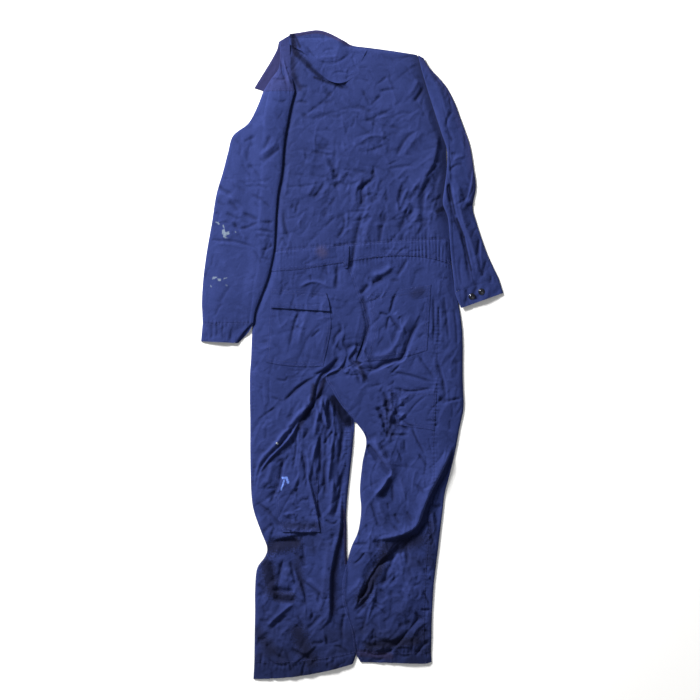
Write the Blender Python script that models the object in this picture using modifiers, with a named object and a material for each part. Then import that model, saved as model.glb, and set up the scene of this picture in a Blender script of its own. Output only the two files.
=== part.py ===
"""A boiler suit laid face down on a flat surface, its back up, as plain cloth walls.

Frame: +X towards the wearer's right, +Y towards the collar, +Z up, and the surface at Z = 0.
The front pieces lie flat on the surface. The back pieces lie over them, the sleeves over the
sides of the body, and the pockets, loop and studs on the pieces that carry them.
Tables are in millimetres.
"""

import bmesh
import bpy
import numpy as np

MM = 0.001
SUIT = "boiler_suit"

WALL = 1.2              # cloth, as a wall
GAP = 0.3               # between two pieces at a seam
CURVED_GAP = 0.6        # and where the seam curves under a fold
EDGE = WALL + GAP       # underside of the back where it meets the front
LOFT = 8.0              # how far the back rises inside its edges
REACH = 50.0            # distance over which it rises
HEM_LOFT = 0.4          # share of the loft left at an open hem
MARGIN = 1.6            # a sleeve or collar clears the body below it by this much
SPREAD = 8.0            # that clearance starts this far outside the body's edge
RAMP = 32.0             # and comes down to the surface over this distance
TUBE_EDGE = 3.0         # height of a flattened tube at its two folds
TUBE_PUFF = 5.0         # and what its middle adds
LOBE_LIFT = 4.5         # the right seat lies over the left one here
LOBE_DIP = 2.5          # and the left one dips under it
LEG_LIFT = 5.5          # the right leg's inner edge lies over the left leg
PLACKET = (-12.0, 33.0)     # sides of the front fly
PLACKET_TIP = -168.0        # its lower end
PLACKET_TAPER = -14.0       # and the height where it starts to narrow
CENTRE_FRONT = 8.0          # seam of the two leg fronts under the fly
STUD_RADIUS = 7.5
STUD_HEIGHT = 2.6
STUD_SIDES = 14
LOOP_LIFT = 1.0

CLOTH_BLUE = (0.030, 0.042, 0.185)
STUD_STEEL = (0.55, 0.55, 0.57)

# Sections of the body from the waist up: left end, right end, and how far the middle bows up.
BODICE = (
    # left x, left y, right x, right y, bow
    (-223.0, 254.3, 245.0, 289.3, 4.0),
    (-224.0, 300.0, 243.0, 330.0, 2.0),
    (-222.0, 372.0, 239.0, 392.0, 0.0),
    (-217.0, 455.0, 238.0, 470.0, 0.0),
    (-213.0, 540.0, 234.0, 550.0, 0.0),
    (-207.0, 615.0, 219.0, 622.0, 0.0),
    (-191.0, 680.0, 202.0, 680.0, 2.0),
    (-175.0, 735.0, 184.0, 720.0, 4.0),
    (-170.0, 784.0, 163.0, 750.0, 6.0),
)

# The waistband's upper seam, then the ends of its lower one, whose curve is WAIST_SEAM.
WAIST = (
    (-223.0, 254.0, 245.0, 289.0, 4.0),
    (-228.0, 209.0, 250.0, 225.0, 0.0),
)
WAIST_SEAM = ((-228.0, 209.0), (-14.0, 231.0), (115.0, 246.0), (250.0, 225.0))

# Sections of the left leg: side seam, then centre seam or inner edge, and the middle's bow.
LEFT_LEG = (
    # outer x, outer y, inner x, inner y, bow
    (-228.0, 209.0, -14.0, 231.0, 0.0),     # waist seam
    (-236.0, 169.0, 14.0, 150.0, 0.0),      # top of the flap
    (-238.0, 146.0, 24.0, 128.0, 0.0),
    (-241.0, 121.0, 30.0, 104.0, 0.0),      # foot of the flap
    (-248.0, 60.0, 36.0, 62.0, 0.0),
    (-251.0, -8.0, 10.0, -14.0, -18.0),     # foot of the back pocket
    (-254.0, -52.0, 4.0, -60.0, -6.0),
    (-254.0, -110.0, 4.0, -115.0, 0.0),
    (-253.0, -165.0, 7.0, -172.0, 0.0),     # crotch
    (-253.0, -237.0, 3.0, -230.0, 0.0),
    (-252.0, -300.0, -4.0, -296.0, 0.0),    # top of the leg pocket
    (-250.0, -350.0, -10.0, -352.0, 0.0),
    (-244.0, -390.0, -13.0, -400.0, 0.0),
    (-226.0, -441.0, -12.0, -440.0, 0.0),   # foot of the leg pocket
    (-211.0, -480.0, -12.0, -480.0, 0.0),   # knee
    (-216.0, -504.0, -11.0, -512.0, 0.0),
    (-236.0, -534.0, -9.0, -548.0, 0.0),
    (-241.0, -588.0, -12.0, -600.0, 0.0),
    (-241.0, -640.0, -6.0, -645.0, 0.0),
    (-242.0, -700.0, 8.0, -695.0, -3.0),
    (-243.0, -768.0, 12.0, -742.0, -8.0),   # hem seam
    (-245.0, -809.0, 4.0, -771.0, -10.0),
)

# Sections of the right leg: centre seam or inner edge, side seam on top, outer fold, and bow.
RIGHT_LEG = (
    # inner x, inner y, seam x, seam y, outer x, outer y, bow
    (-14.0, 231.0, 240.0, 225.0, 250.0, 225.0, 0.0),    # waist seam
    (14.0, 150.0, 226.0, 180.0, 256.0, 182.0, 0.0),     # top of the back pocket
    (24.0, 128.0, 222.0, 155.0, 261.0, 157.0, 0.0),
    (30.0, 104.0, 219.0, 120.0, 269.0, 120.0, 0.0),
    (36.0, 62.0, 215.0, 72.0, 276.0, 72.0, 0.0),
    (10.0, -14.0, 214.0, 22.0, 278.0, 28.0, -12.0),     # foot of the back pocket
    (-62.0, -50.0, 214.0, -50.0, 278.0, -50.0, -6.0),
    (-49.0, -87.0, 213.0, -84.0, 279.0, -88.0, 0.0),    # top of the rule pocket
    (-26.0, -125.0, 210.0, -132.0, 280.0, -132.0, 0.0),
    (5.0, -161.0, 207.0, -187.0, 269.0, -187.0, 0.0),   # foot of the rule pocket
    (36.0, -209.0, 206.0, -240.0, 258.0, -246.0, 0.0),
    (27.0, -272.0, 206.0, -300.0, 245.0, -300.0, 0.0),
    (21.0, -335.0, 204.0, -350.0, 233.0, -346.0, 0.0),
    (24.0, -387.0, 200.0, -395.0, 227.0, -395.0, 0.0),
    (17.0, -439.0, 196.0, -445.0, 221.0, -445.0, 0.0),
    (0.0, -479.0, 192.0, -487.0, 216.0, -487.0, 0.0),
    (-9.0, -511.0, 189.0, -520.0, 212.0, -520.0, 0.0),
    (-23.0, -565.0, 186.0, -570.0, 206.0, -570.0, 0.0),
    (-24.0, -611.0, 184.0, -615.0, 203.0, -615.0, 0.0),
    (-15.0, -645.0, 183.0, -650.0, 201.0, -650.0, 0.0),
    (0.0, -690.0, 182.0, -700.0, 200.0, -700.0, 0.0),
    (8.0, -738.0, 182.0, -742.0, 199.0, -740.0, 0.0),   # hem seam
    (22.0, -767.0, 184.0, -771.0, 200.0, -767.0, 0.0),
)

# Sections of the left sleeve from the shoulder to the cuff: outer fold, inner fold.
LEFT_SLEEVE = (
    # outer x, outer y, inner x, inner y
    (-221.0, 656.7, -141.0, 656.7),
    (-236.0, 619.0, -152.0, 617.0),
    (-258.0, 579.0, -160.0, 575.0),
    (-296.0, 548.0, -166.0, 540.0),
    (-309.0, 505.0, -170.0, 500.0),
    (-322.0, 455.0, -174.0, 452.0),
    (-338.0, 400.0, -184.0, 398.0),
    (-349.0, 330.0, -189.0, 330.0),
    (-361.0, 262.0, -193.0, 262.0),
    (-370.0, 195.0, -207.0, 197.0),
    (-374.0, 135.0, -227.0, 143.0),
    (-373.0, 105.0, -240.0, 108.0),
    (-372.0, 79.3, -244.0, 80.3),
)
LEFT_CUFF = (
    (-372.0, 78.6, -244.0, 79.4),
    (-374.0, 57.0, -258.0, 56.0),
    (-376.0, 34.0, -283.0, 30.0),
)
RIGHT_SLEEVE = (
    (180.0, 741.0, 166.0, 748.0),
    (194.0, 718.0, 174.0, 714.0),
    (234.0, 674.0, 187.0, 670.0),
    (258.0, 630.0, 201.0, 626.0),
    (271.0, 595.0, 212.0, 592.0),
    (285.0, 557.0, 225.0, 552.0),
    (297.0, 519.0, 238.0, 512.0),
    (305.0, 470.0, 238.0, 466.0),
    (311.0, 420.0, 232.0, 418.0),
    (303.0, 371.0, 228.0, 378.0),
    (311.0, 335.0, 241.0, 338.0),
    (335.0, 263.0, 251.0, 261.0),
    (352.0, 224.0, 257.0, 212.0),
    (367.0, 193.3, 262.0, 158.3),
)
RIGHT_CUFF = (
    (367.0, 193.0, 262.0, 158.0),
    (373.0, 175.0, 267.0, 138.0),
    (379.0, 155.0, 274.0, 117.0),
)

# The front yoke where it turns over the left shoulder: left edge, right edge.
SHOULDER = (
    (-221.0, 657.0, -141.0, 657.0),
    (-202.0, 687.0, -147.0, 688.0),
    (-182.0, 715.0, -151.0, 718.0),
    (-178.0, 750.0, -153.0, 756.0),
    (-181.0, 782.0, -153.0, 798.0),
)

# The back of the collar: its free edge, then its upper fold.
COLLAR_FALL = (
    (-152.0, 789.0, -151.0, 799.0),
    (-133.0, 768.0, -120.0, 805.0),
    (-109.0, 740.0, -96.0, 809.0),
    (-74.0, 700.0, -68.0, 808.0),
    (-49.0, 683.0, -38.0, 795.0),
    (-20.0, 680.0, -12.0, 781.0),
    (-2.0, 688.0, 9.0, 771.0),
)

# The left collar point, flat on the surface: free edge, hidden edge.
COLLAR_POINT = (
    (-243.0, 667.0, -217.0, 658.0),
    (-219.0, 706.0, -191.0, 700.0),
    (-203.0, 732.0, -178.0, 730.0),
    (-195.0, 746.0, -175.0, 746.0),
    (-186.0, 764.0, -174.0, 764.0),
    (-182.0, 782.0, -173.0, 784.0),
)

BELT_LOOP = (
    (-20.0, 276.0, -6.0, 276.0),
    (-21.0, 246.0, -7.0, 246.0),
    (-20.0, 216.0, -9.0, 216.0),
)

# The largest folds: two ends and a bend between them, half width, and height (a dip is negative).
FOLDS = (
    # start x, y, bend x, y, end x, y, width, height
    (223.0, 550.0, 178.0, 436.0, 172.0, 321.0, 26.0, 5.0),
    (-86.0, 550.0, -29.0, 493.0, -32.0, 424.0, 24.0, 4.0),
    (57.0, 470.0, 30.0, 420.0, 11.0, 275.0, 22.0, 4.0),
    (169.0, 562.0, 130.0, 520.0, 74.0, 459.0, 22.0, -3.0),
    (149.0, 361.0, 140.0, 320.0, 131.0, 287.0, 20.0, 3.0),
    (-184.0, 378.0, -165.0, 330.0, -155.0, 286.0, 20.0, 3.0),
    (115.0, 242.0, 49.0, 175.0, 30.0, 110.0, 24.0, 4.0),
    (164.0, 87.0, 134.0, -7.0, 26.0, -47.0, 32.0, -4.5),
    (-97.0, -56.0, -130.0, -80.0, -161.0, -110.0, 20.0, -3.0),
    (-109.0, -129.0, -215.0, -240.0, -244.0, -375.0, 28.0, 6.5),
    (-83.0, -94.0, -70.0, -140.0, -47.0, -184.0, 24.0, 4.0),
    (-129.0, -200.0, -120.0, -260.0, -112.0, -330.0, 18.0, 3.0),
    (-59.0, -190.0, -62.0, -260.0, -55.0, -340.0, 18.0, 3.0),
    (-200.0, -500.0, -170.0, -490.0, -129.0, -525.0, 28.0, -5.0),
    (-199.0, -590.0, -176.0, -596.0, -150.0, -600.0, 22.0, -4.0),
    (-30.0, -380.0, -60.0, -560.0, -116.0, -712.0, 24.0, -4.0),
    (80.0, -261.0, 124.0, -292.0, 52.0, -380.0, 24.0, 5.5),
    (215.0, -300.0, 180.0, -470.0, 60.0, -441.0, 30.0, 6.0),
    (189.0, -370.0, 90.0, -480.0, 40.0, -662.0, 28.0, -4.5),
    (40.0, -715.0, 130.0, -725.0, 180.0, -642.0, 26.0, -4.0),
)

LEFT_COLUMNS = (0.0, 0.14, 0.25, 0.36, 0.47, 0.58, 0.69, 0.85, 1.0)
RIGHT_COLUMNS = (0.0, 0.10, 0.24, 0.40, 0.54, 0.65, 0.76, 0.87, 1.0)
LEG_STEPS = 2           # rows of the mesh between two sections of a leg
BODICE_STEPS = 2
BODICE_COLUMNS = 15
TUBE_COLUMNS = 7
FRONT_COLUMNS = 2
OVER_COLUMNS = 2        # the right front's own strip, on top, from the fold to the side seam
SHOULDER_COLUMNS = 5
COLLAR_COLUMNS = 5
POINT_COLUMNS = 2
TABLE_STEPS = 2         # rows of the mesh between two sections of the shoulder and the collar
LOOP_STEPS = 3
FLY_TIP_ROWS = 6

# Where the right seat lies over the left: its top, foot and right side, and the distances over
# which it comes in at each.
LOBE = (55.0, -225.0, 62.0)
LOBE_BLEND = (60.0, 50.0, 50.0)
# Where the left seat dips under it: its top, foot and left side, and the same distances.
DIP = (60.0, -215.0, -75.0)
DIP_BLEND = (60.0, 50.0, 40.0)
# Where the right leg lies on the left leg: its top, its width in from the inner edge, and the
# distances over which it comes in at each.
OVERLAP = (-440.0, 52.0)
OVERLAP_BLEND = (50.0, 24.0)

PUFF_POWER = 0.8        # under 1 makes a tube's upper face fuller near its folds
SHOULDER_RISE = 20.0    # the shoulder is full below this distance over its second section
SHOULDER_BLEND = 50.0
SHOULDER_LOWEST = 2.2
SIDE_RISE = 0.5         # extra height of the right front's strip at its outer fold
FLY_TOP = 0.53          # share of the neck's width at which the fly meets it
LEFT_FRONT_BOW = 0.5    # the left front's sections bow by this share of the back's

# The right front's edge from the fly's tip to the leg's inner edge: y, then x.
CROTCH_EDGE_Y = (-209.0, -168.0)
CROTCH_EDGE_X = (-99.0, 9.5)

STUDS = ((324.0, 158.0), (300.0, 146.0))


def smooth(values):
    """A step that leaves 0 and reaches 1 with no slope."""
    t = np.clip(values, 0.0, 1.0)
    return t * t * (3.0 - 2.0 * t)


def refined(table, steps):
    """The table's rows with steps - 1 more between each two, on a smooth curve through them."""
    rows = np.array(table)
    ends = np.vstack([2 * rows[0] - rows[1], rows, 2 * rows[-1] - rows[-2]])
    out = [rows[0]]
    for k in range(len(rows) - 1):
        before, here, after, beyond = ends[k:k + 4]
        for t in np.arange(1, steps + 1) / steps:
            bend = (2 * before - 5 * here + 4 * after - beyond) * t * t
            turn = (3 * here - before - 3 * after + beyond) * t ** 3
            out.append(here + 0.5 * ((after - before) * t + bend + turn))
    return np.array(out)


def edge_at(y, table, x_column):
    """x of a table's edge at height y."""
    rows = np.array(table)
    order = np.argsort(rows[:, x_column + 1])
    return np.interp(y, rows[order, x_column + 1], rows[order, x_column])


BODY_LEFT = [row[:2] for row in reversed(LEFT_LEG)] + [row[:2] for row in BODICE]
BODY_RIGHT = [row[4:6] for row in reversed(RIGHT_LEG)] + [row[2:4] for row in BODICE]
LEFT_INNER = [row[2:4] for row in reversed(LEFT_LEG[8:])] + [(620.0, 240.0)]
RIGHT_INNER = [row[:2] for row in reversed(RIGHT_LEG[10:])] + [(-600.0, 220.0)]


def waist_seam(x):
    """y of the waistband's lower seam: the cubic through its four points."""
    px, py = zip(*WAIST_SEAM)
    return np.polyval(np.polyfit(px, py, 3), x)


def inside_body(x, y):
    """Distance from the body's nearer side, negative outside it."""
    return np.minimum(x - edge_at(y, BODY_LEFT, 0), edge_at(y, BODY_RIGHT, 0) - x)


def fold_heights(x, y):
    """Sum of the folds: each is a bell across its curve, fading out at both of its ends."""
    total = np.zeros_like(x)
    t = np.linspace(0.0, 1.0, 25)
    for x0, y0, x1, y1, x2, y2, width, height in FOLDS:
        along_x = (1 - t) ** 2 * x0 + 2 * t * (1 - t) * x1 + t * t * x2
        along_y = (1 - t) ** 2 * y0 + 2 * t * (1 - t) * y1 + t * t * y2
        gaps = np.hypot(x[..., None] - along_x, y[..., None] - along_y)
        nearest = gaps.argmin(axis=-1)
        across = gaps.min(axis=-1) / width
        ends = np.sin(np.pi * np.clip(t[nearest], 0.04, 0.96)) ** 0.5
        total += height * ends * np.exp(-across * across)
    return total


def level(x, y, leg=None):
    """Underside of the back: low along the outline, with the loft and the folds inside it."""
    rise = smooth((x - edge_at(y, BODY_LEFT, 0)) / REACH)
    rise = rise * smooth((edge_at(y, BODY_RIGHT, 0) - x) / REACH)
    if leg == "left":
        rise = smooth((x - edge_at(y, BODY_LEFT, 0)) / REACH)
        rise = rise * smooth((edge_at(y, LEFT_INNER, 0) - x) / REACH)
    if leg == "right":
        rise = smooth((edge_at(y, BODY_RIGHT, 0) - x) / REACH)
        rise = rise * smooth((x - edge_at(y, RIGHT_INNER, 0)) / REACH)
    top = np.interp(x, (BODICE[-1][0], BODICE[-1][2]), (BODICE[-1][1], BODICE[-1][3]))
    rise = rise * smooth((top + 8.0 - y) / REACH)
    hem = smooth((y - LEFT_LEG[-1][1]) / REACH)
    rise = rise * (HEM_LOFT + (1.0 - HEM_LOFT) * hem)
    high = EDGE + rise * (LOFT + fold_heights(x, y))
    return np.maximum(high, EDGE)


def lobe(x, y):
    """1 where the right seat lies over the left, 0 away from it."""
    top = smooth((LOBE[0] - y) / LOBE_BLEND[0])
    foot = smooth((y - LOBE[1]) / LOBE_BLEND[1])
    return top * foot * smooth((LOBE[2] - x) / LOBE_BLEND[2])


def leg_overlap(x, y):
    """1 along the right leg's inner edge where it lies on the left leg."""
    side = smooth((edge_at(y, RIGHT_INNER, 0) + OVERLAP[1] - x) / OVERLAP_BLEND[1])
    return side * smooth((OVERLAP[0] - y) / OVERLAP_BLEND[0])


def left_back_level(x, y):
    """Underside of the left leg's back: it dips under the right seat."""
    top = smooth((DIP[0] - y) / DIP_BLEND[0])
    foot = smooth((y - DIP[1]) / DIP_BLEND[1])
    dip = LOBE_DIP * smooth((x - DIP[2]) / DIP_BLEND[2]) * top * foot
    return np.maximum(level(x, y, "left") - dip, EDGE)


def right_back_level(x, y):
    """Underside of the right leg's back: lifted where it lies on the left one."""
    return level(x, y, "right") + LOBE_LIFT * lobe(x, y) + LEG_LIFT * leg_overlap(x, y)


def over_body(x, y):
    """Underside of what lies over the body's side: clear of the body, and down to the surface."""
    inside = inside_body(x, y)
    clear = EDGE + WALL + MARGIN + LOFT * smooth((inside + SPREAD) / REACH)
    folds = np.maximum(fold_heights(x, y), 0.0) * smooth((inside + SPREAD) / REACH)
    return (clear + folds) * smooth((inside + SPREAD + RAMP) / RAMP)


def across(rows, columns):
    """Grid of plan points on straight or bowed sections between each row's two ends."""
    u = np.array(columns)
    bow = rows[:, 4:5] if rows.shape[1] > 4 else 0.0
    x = rows[:, 0:1] * (1 - u) + rows[:, 2:3] * u
    y = rows[:, 1:2] * (1 - u) + rows[:, 3:4] * u + bow * 4 * u * (1 - u)
    return x, y


def normals(points):
    """Unit normals of a grid of points, facing up."""
    down_rows = np.gradient(points, axis=0)
    along_row = np.gradient(points, axis=1)
    normal = np.cross(along_row, down_rows)
    normal *= np.sign(normal[..., 2:3])
    return normal / np.linalg.norm(normal, axis=-1, keepdims=True)


def principled(name, colour, roughness, metallic):
    """A plain material."""
    material = bpy.data.materials.new(name)
    material.use_nodes = True
    shader = material.node_tree.nodes["Principled BSDF"]
    shader.inputs["Base Color"].default_value = (*colour, 1.0)
    shader.inputs["Roughness"].default_value = roughness
    shader.inputs["Metallic"].default_value = metallic
    material.diffuse_color = (*colour, 1.0)
    return material


def wall_from(name, points, collection, outward, ring=False):
    """A cloth wall on a grid of points. outward is 1 where the wall grows along the faces'
    normals and -1 where it grows against them; a ring's last column joins its first."""
    rows, columns = points.shape[:2]
    mesh = bpy.data.meshes.new(name)
    faces = []
    for i in range(rows - 1):
        for j in range(columns if ring else columns - 1):
            k = (j + 1) % columns
            here = i * columns
            ahead = here + columns
            faces.append((here + j, here + k, ahead + k, ahead + j))
    mesh.from_pydata((points.reshape(-1, 3) * MM).tolist(), [], faces)
    mesh.validate()
    piece = bpy.data.objects.new(name, mesh)
    collection.objects.link(piece)
    wall = piece.modifiers.new("Wall", "SOLIDIFY")
    wall.thickness = WALL * MM
    wall.offset = outward
    wall.use_even_offset = ring
    mesh.materials.append(principled(name, CLOTH_BLUE, 0.85, 0.0))
    mesh.shade_smooth()
    return piece


def sheet(name, x, y, z, collection):
    """A single layer of cloth whose underside is the grid."""
    points = np.stack([x, y, z], axis=-1)
    up = np.cross(points[0, 1] - points[0, 0], points[1, 0] - points[0, 0])[2] > 0
    if not up:
        points = points[:, ::-1]
    return wall_from(name, points, collection, 1.0)


def make_bodice(collection):
    """The back bodice, from the waistband to the neck."""
    rows = refined(BODICE, BODICE_STEPS)
    x, y = across(rows, np.linspace(0.0, 1.0, BODICE_COLUMNS + 1))
    sheet("back_bodice", x, y, level(x, y), collection)


def fly_sides(y):
    """The fly's left and right sides at height y: parallel, then narrowing to its tip."""
    narrow = np.clip((PLACKET_TAPER - y) / (PLACKET_TAPER - PLACKET_TIP), 0.0, 1.0)
    left = PLACKET[0] + (CENTRE_FRONT - 1.0 - PLACKET[0]) * narrow
    right = PLACKET[1] + (CENTRE_FRONT + 1.0 - PLACKET[1]) * narrow
    return left, right


def cut_at(rows, keep):
    """The rows' ends moved to one side of the fly: keep is "left" or "right" of it."""
    cut = np.array(rows, dtype=float)
    for row in cut:
        x0, y0, x1, y1 = row[:4]
        middle = y0 + (y1 - y0) * (CENTRE_FRONT - x0) / (x1 - x0)
        left, right = fly_sides(middle)
        if keep == "left":
            row[2], row[3] = left - GAP, y0 + (y1 - y0) * (left - x0) / (x1 - x0)
        else:
            row[0], row[1] = right + GAP, y0 + (y1 - y0) * (right - x0) / (x1 - x0)
        row[4] = 0.0
    return cut


def make_fronts(collection):
    """The two bodice fronts and the front waistband, flat on the surface."""
    columns = np.linspace(0.0, 1.0, FRONT_COLUMNS + 1)
    for side in ("left", "right"):
        rows = cut_at(BODICE, side)
        x, y = across(rows, columns)
        sheet("front_bodice_" + side, x, y, np.zeros_like(x), collection)
        rows = cut_at(WAIST, side)
        x, y = across(rows, columns)
        y[-1] = waist_seam(x[-1]) + CURVED_GAP
        sheet("waistband_front_" + side, x, y, np.zeros_like(x), collection)


def make_placket(collection):
    """The concealed fly, one strip from the neck to the crotch between the fronts."""
    top = BODICE[-1][1] + (BODICE[-1][3] - BODICE[-1][1]) * FLY_TOP
    y = np.concatenate([[top], np.linspace(PLACKET_TAPER, PLACKET_TIP, FLY_TIP_ROWS)])
    left, right = fly_sides(y)
    x = np.stack([left, right], axis=1)
    y = np.stack([y, y], axis=1)
    sheet("front_placket", x, y, np.zeros_like(x), collection)


def make_waistband(collection):
    """The back waistband, its lower edge on the waist seam."""
    rows = np.array(WAIST)
    x, y = across(rows, np.linspace(0.0, 1.0, BODICE_COLUMNS + 1))
    y[-1] = waist_seam(x[-1]) + CURVED_GAP
    x = np.stack([x[0], x.mean(axis=0), x[1]])
    y = np.stack([y[0], y.mean(axis=0), y[1]])
    sheet("waistband_back", x, y, level(x, y), collection)


def leg_grids():
    """The two leg backs, as grids of points on their undersides."""
    rows = refined(LEFT_LEG, LEG_STEPS)
    x, y = across(rows, LEFT_COLUMNS)
    y[0] = waist_seam(x[0])
    left = np.stack([x, y, left_back_level(x, y)], axis=-1)
    full = refined(RIGHT_LEG, LEG_STEPS)
    rows = full[:, [0, 1, 2, 3, 6]]
    rows[:, 0] += GAP
    x, y = across(rows, RIGHT_COLUMNS)
    y[0] = waist_seam(x[0])
    right = np.stack([x, y, right_back_level(x, y)], axis=-1)
    return left, right


def make_leg_backs(collection, left, right):
    """The two leg backs, each in one piece with its half of the seat."""
    sheet("leg_back_left", left[..., 0], left[..., 1], left[..., 2], collection)
    sheet("leg_back_right", right[..., 0], right[..., 1], right[..., 2], collection)


def make_left_leg_front(collection):
    """The left leg's front, flat on the surface, cut short of the fly."""
    rows = refined(LEFT_LEG, 1)
    for row in rows:
        if row[3] > PLACKET_TIP - GAP:
            left, _ = fly_sides(row[3])
            row[2] = left - GAP
        row[4] *= LEFT_FRONT_BOW
    rows = rows[:, :5]
    x, y = across(rows, np.linspace(0.0, 1.0, 2 * FRONT_COLUMNS + 1))
    y[0] = waist_seam(x[0])
    sheet("leg_front_left", x, y, np.zeros_like(x), collection)


def make_right_leg_front(collection):
    """Flat under the leg, round its outer fold and back over the top to the side seam."""
    rows = refined(RIGHT_LEG, LEG_STEPS)
    fly = fly_sides(rows[:, 1])[1] + GAP
    on_fly = rows[:, 1] > PLACKET_TIP
    crotch = np.interp(rows[:, 1], CROTCH_EDGE_Y, CROTCH_EDGE_X)
    inner_x = np.where(on_fly, fly, np.maximum(rows[:, 0], crotch))
    inner_y = rows[:, 1]
    outer = rows[:, 4:6]
    seam = rows[:, 2:4] + (CURVED_GAP, 0.0)
    floor = np.linspace(0.0, 1.0, FRONT_COLUMNS + 1)
    x = inner_x[:, None] * (1 - floor) + outer[:, 0:1] * floor
    y = inner_y[:, None] * (1 - floor) + outer[:, 1:2] * floor
    y[0] = waist_seam(x[0])
    z = LEG_LIFT * leg_overlap(x, y)
    over = np.linspace(0.0, 1.0, OVER_COLUMNS + 1)
    top_x = outer[:, 0:1] * (1 - over) + seam[:, 0:1] * over
    top_y = outer[:, 1:2] * (1 - over) + seam[:, 1:2] * over
    top_z = right_back_level(top_x, top_y) + WALL + SIDE_RISE * (1 - over)
    points = np.stack([np.hstack([x, top_x]), np.hstack([y, top_y]), np.hstack([z, top_z])], axis=-1)
    piece = wall_from("leg_front_right", points, collection, -1.0)
    piece.modifiers["Wall"].use_even_offset = True


def tube_grid(table, steps=1):
    """Outer skin of a flattened tube: across its underside, then back over its top."""
    rows = refined(table, steps)
    s = np.linspace(0.0, 1.0, TUBE_COLUMNS + 1)
    x, y = across(rows, s)
    under = over_body(x, y)
    puff = TUBE_EDGE + TUBE_PUFF * (4 * s * (1 - s)) ** PUFF_POWER
    over = under + puff
    low = np.stack([x, y, under], axis=-1)
    high = np.stack([x, y, over], axis=-1)[:, ::-1]
    return np.concatenate([low, high], axis=1)


def make_tube(name, table, collection):
    """A flattened tube of cloth: a sleeve or a cuff."""
    points = tube_grid(table)
    mirrored = table[0][0] > table[0][2]
    if mirrored:
        points = points[:, ::-1]
    return wall_from(name, points, collection, -1.0, ring=True)


def make_shoulder(collection):
    """The front yoke where it turns over the left shoulder, full at its seam with the sleeve."""
    rows = refined(SHOULDER, TABLE_STEPS)
    u = np.linspace(0.0, 1.0, SHOULDER_COLUMNS + 1)
    x, y = across(rows, u)
    seam = smooth((SHOULDER[1][1] + SHOULDER_RISE - y) / SHOULDER_BLEND)
    puff = TUBE_EDGE + TUBE_PUFF * (4 * u * (1 - u)) ** PUFF_POWER - WALL
    z = over_body(x, y) + puff * seam
    sheet("shoulder_left", x, y + GAP, np.maximum(z, SHOULDER_LOWEST), collection)


def make_collar(collection):
    """The back of the collar over the neck, and its left point on the surface."""
    rows = refined(COLLAR_FALL, TABLE_STEPS)
    x, y = across(rows, np.linspace(0.0, 1.0, COLLAR_COLUMNS + 1))
    z = level(x, y) + WALL + MARGIN
    sheet("collar_fall", x, y, z, collection)
    rows = refined(COLLAR_POINT, 1)
    x, y = across(rows, np.linspace(0.0, 1.0, POINT_COLUMNS + 1))
    sheet("collar_point_left", x, y, np.zeros_like(x), collection)


def on_panel(name, panel, rows, columns, layers, collection):
    """A patch of a panel's own points, moved out past as many cloth layers as lie under it."""
    moved = panel + normals(panel) * (WALL + GAP) * layers
    part = moved[rows[0]:rows[1] + 1, columns[0]:columns[1] + 1]
    sheet(name, part[..., 0], part[..., 1], part[..., 2], collection)


def make_pockets(collection, left, right):
    """The pockets and the flap, each on its part of a leg's grid: rows, then columns."""
    s = LEG_STEPS
    on_panel("back_pocket_left", left, (2 * s, 5 * s), (1, 6), 1, collection)
    on_panel("pocket_flap_left", left, (1 * s, 3 * s), (1, 6), 2, collection)
    on_panel("leg_pocket_left", left, (10 * s, 13 * s), (2, 6), 1, collection)
    on_panel("back_pocket_right", right, (1 * s, 5 * s), (1, 7), 1, collection)
    on_panel("rule_pocket_right", right, (7 * s, 9 * s), (4, 8), 1, collection)


def make_belt_loop(collection):
    """A short strip that stands clear of the waistband."""
    rows = refined(BELT_LOOP, LOOP_STEPS)
    x, y = across(rows, (0.0, 1.0))
    z = level(x, y) + WALL + LOOP_LIFT
    sheet("belt_loop", x, y, z, collection)


def make_stud(name, place, height, collection):
    """A press stud's cap: a low dome turned about its own axis."""
    radius = STUD_RADIUS
    profile = (
        (radius, 0.0),
        (radius, 0.9),
        (radius * 0.86, 1.7),
        (radius * 0.5, STUD_HEIGHT),
        (0.0, STUD_HEIGHT),
    )
    mesh = bpy.data.meshes.new(name)
    build = bmesh.new()
    bottom = build.verts.new((0.0, 0.0, 0.0))
    points = [build.verts.new((r * MM, 0.0, z * MM)) for r, z in reversed(profile)]
    chain = points + [bottom]
    for first, second in zip(chain, chain[1:]):
        build.edges.new((first, second))
    build.to_mesh(mesh)
    build.free()
    stud = bpy.data.objects.new(name, mesh)
    stud.location = (place[0] * MM, place[1] * MM, height * MM)
    collection.objects.link(stud)
    turn = stud.modifiers.new("Turned", "SCREW")
    turn.steps = STUD_SIDES
    turn.render_steps = STUD_SIDES
    turn.use_merge_vertices = True
    turn.merge_threshold = 0.00001
    turn.use_smooth_shade = True
    mesh.materials.append(principled(name, STUD_STEEL, 0.3, 1.0))


def make_studs(collection):
    """Each stud stands on the highest point of the cuff under it."""
    skin = tube_grid(RIGHT_CUFF, 4).reshape(-1, 3)
    for number, place in enumerate(STUDS, start=1):
        near = np.hypot(skin[:, 0] - place[0], skin[:, 1] - place[1]) < 2 * STUD_RADIUS
        height = skin[near, 2].max() + GAP
        make_stud(f"cuff_stud_{number}", place, height, collection)


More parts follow.
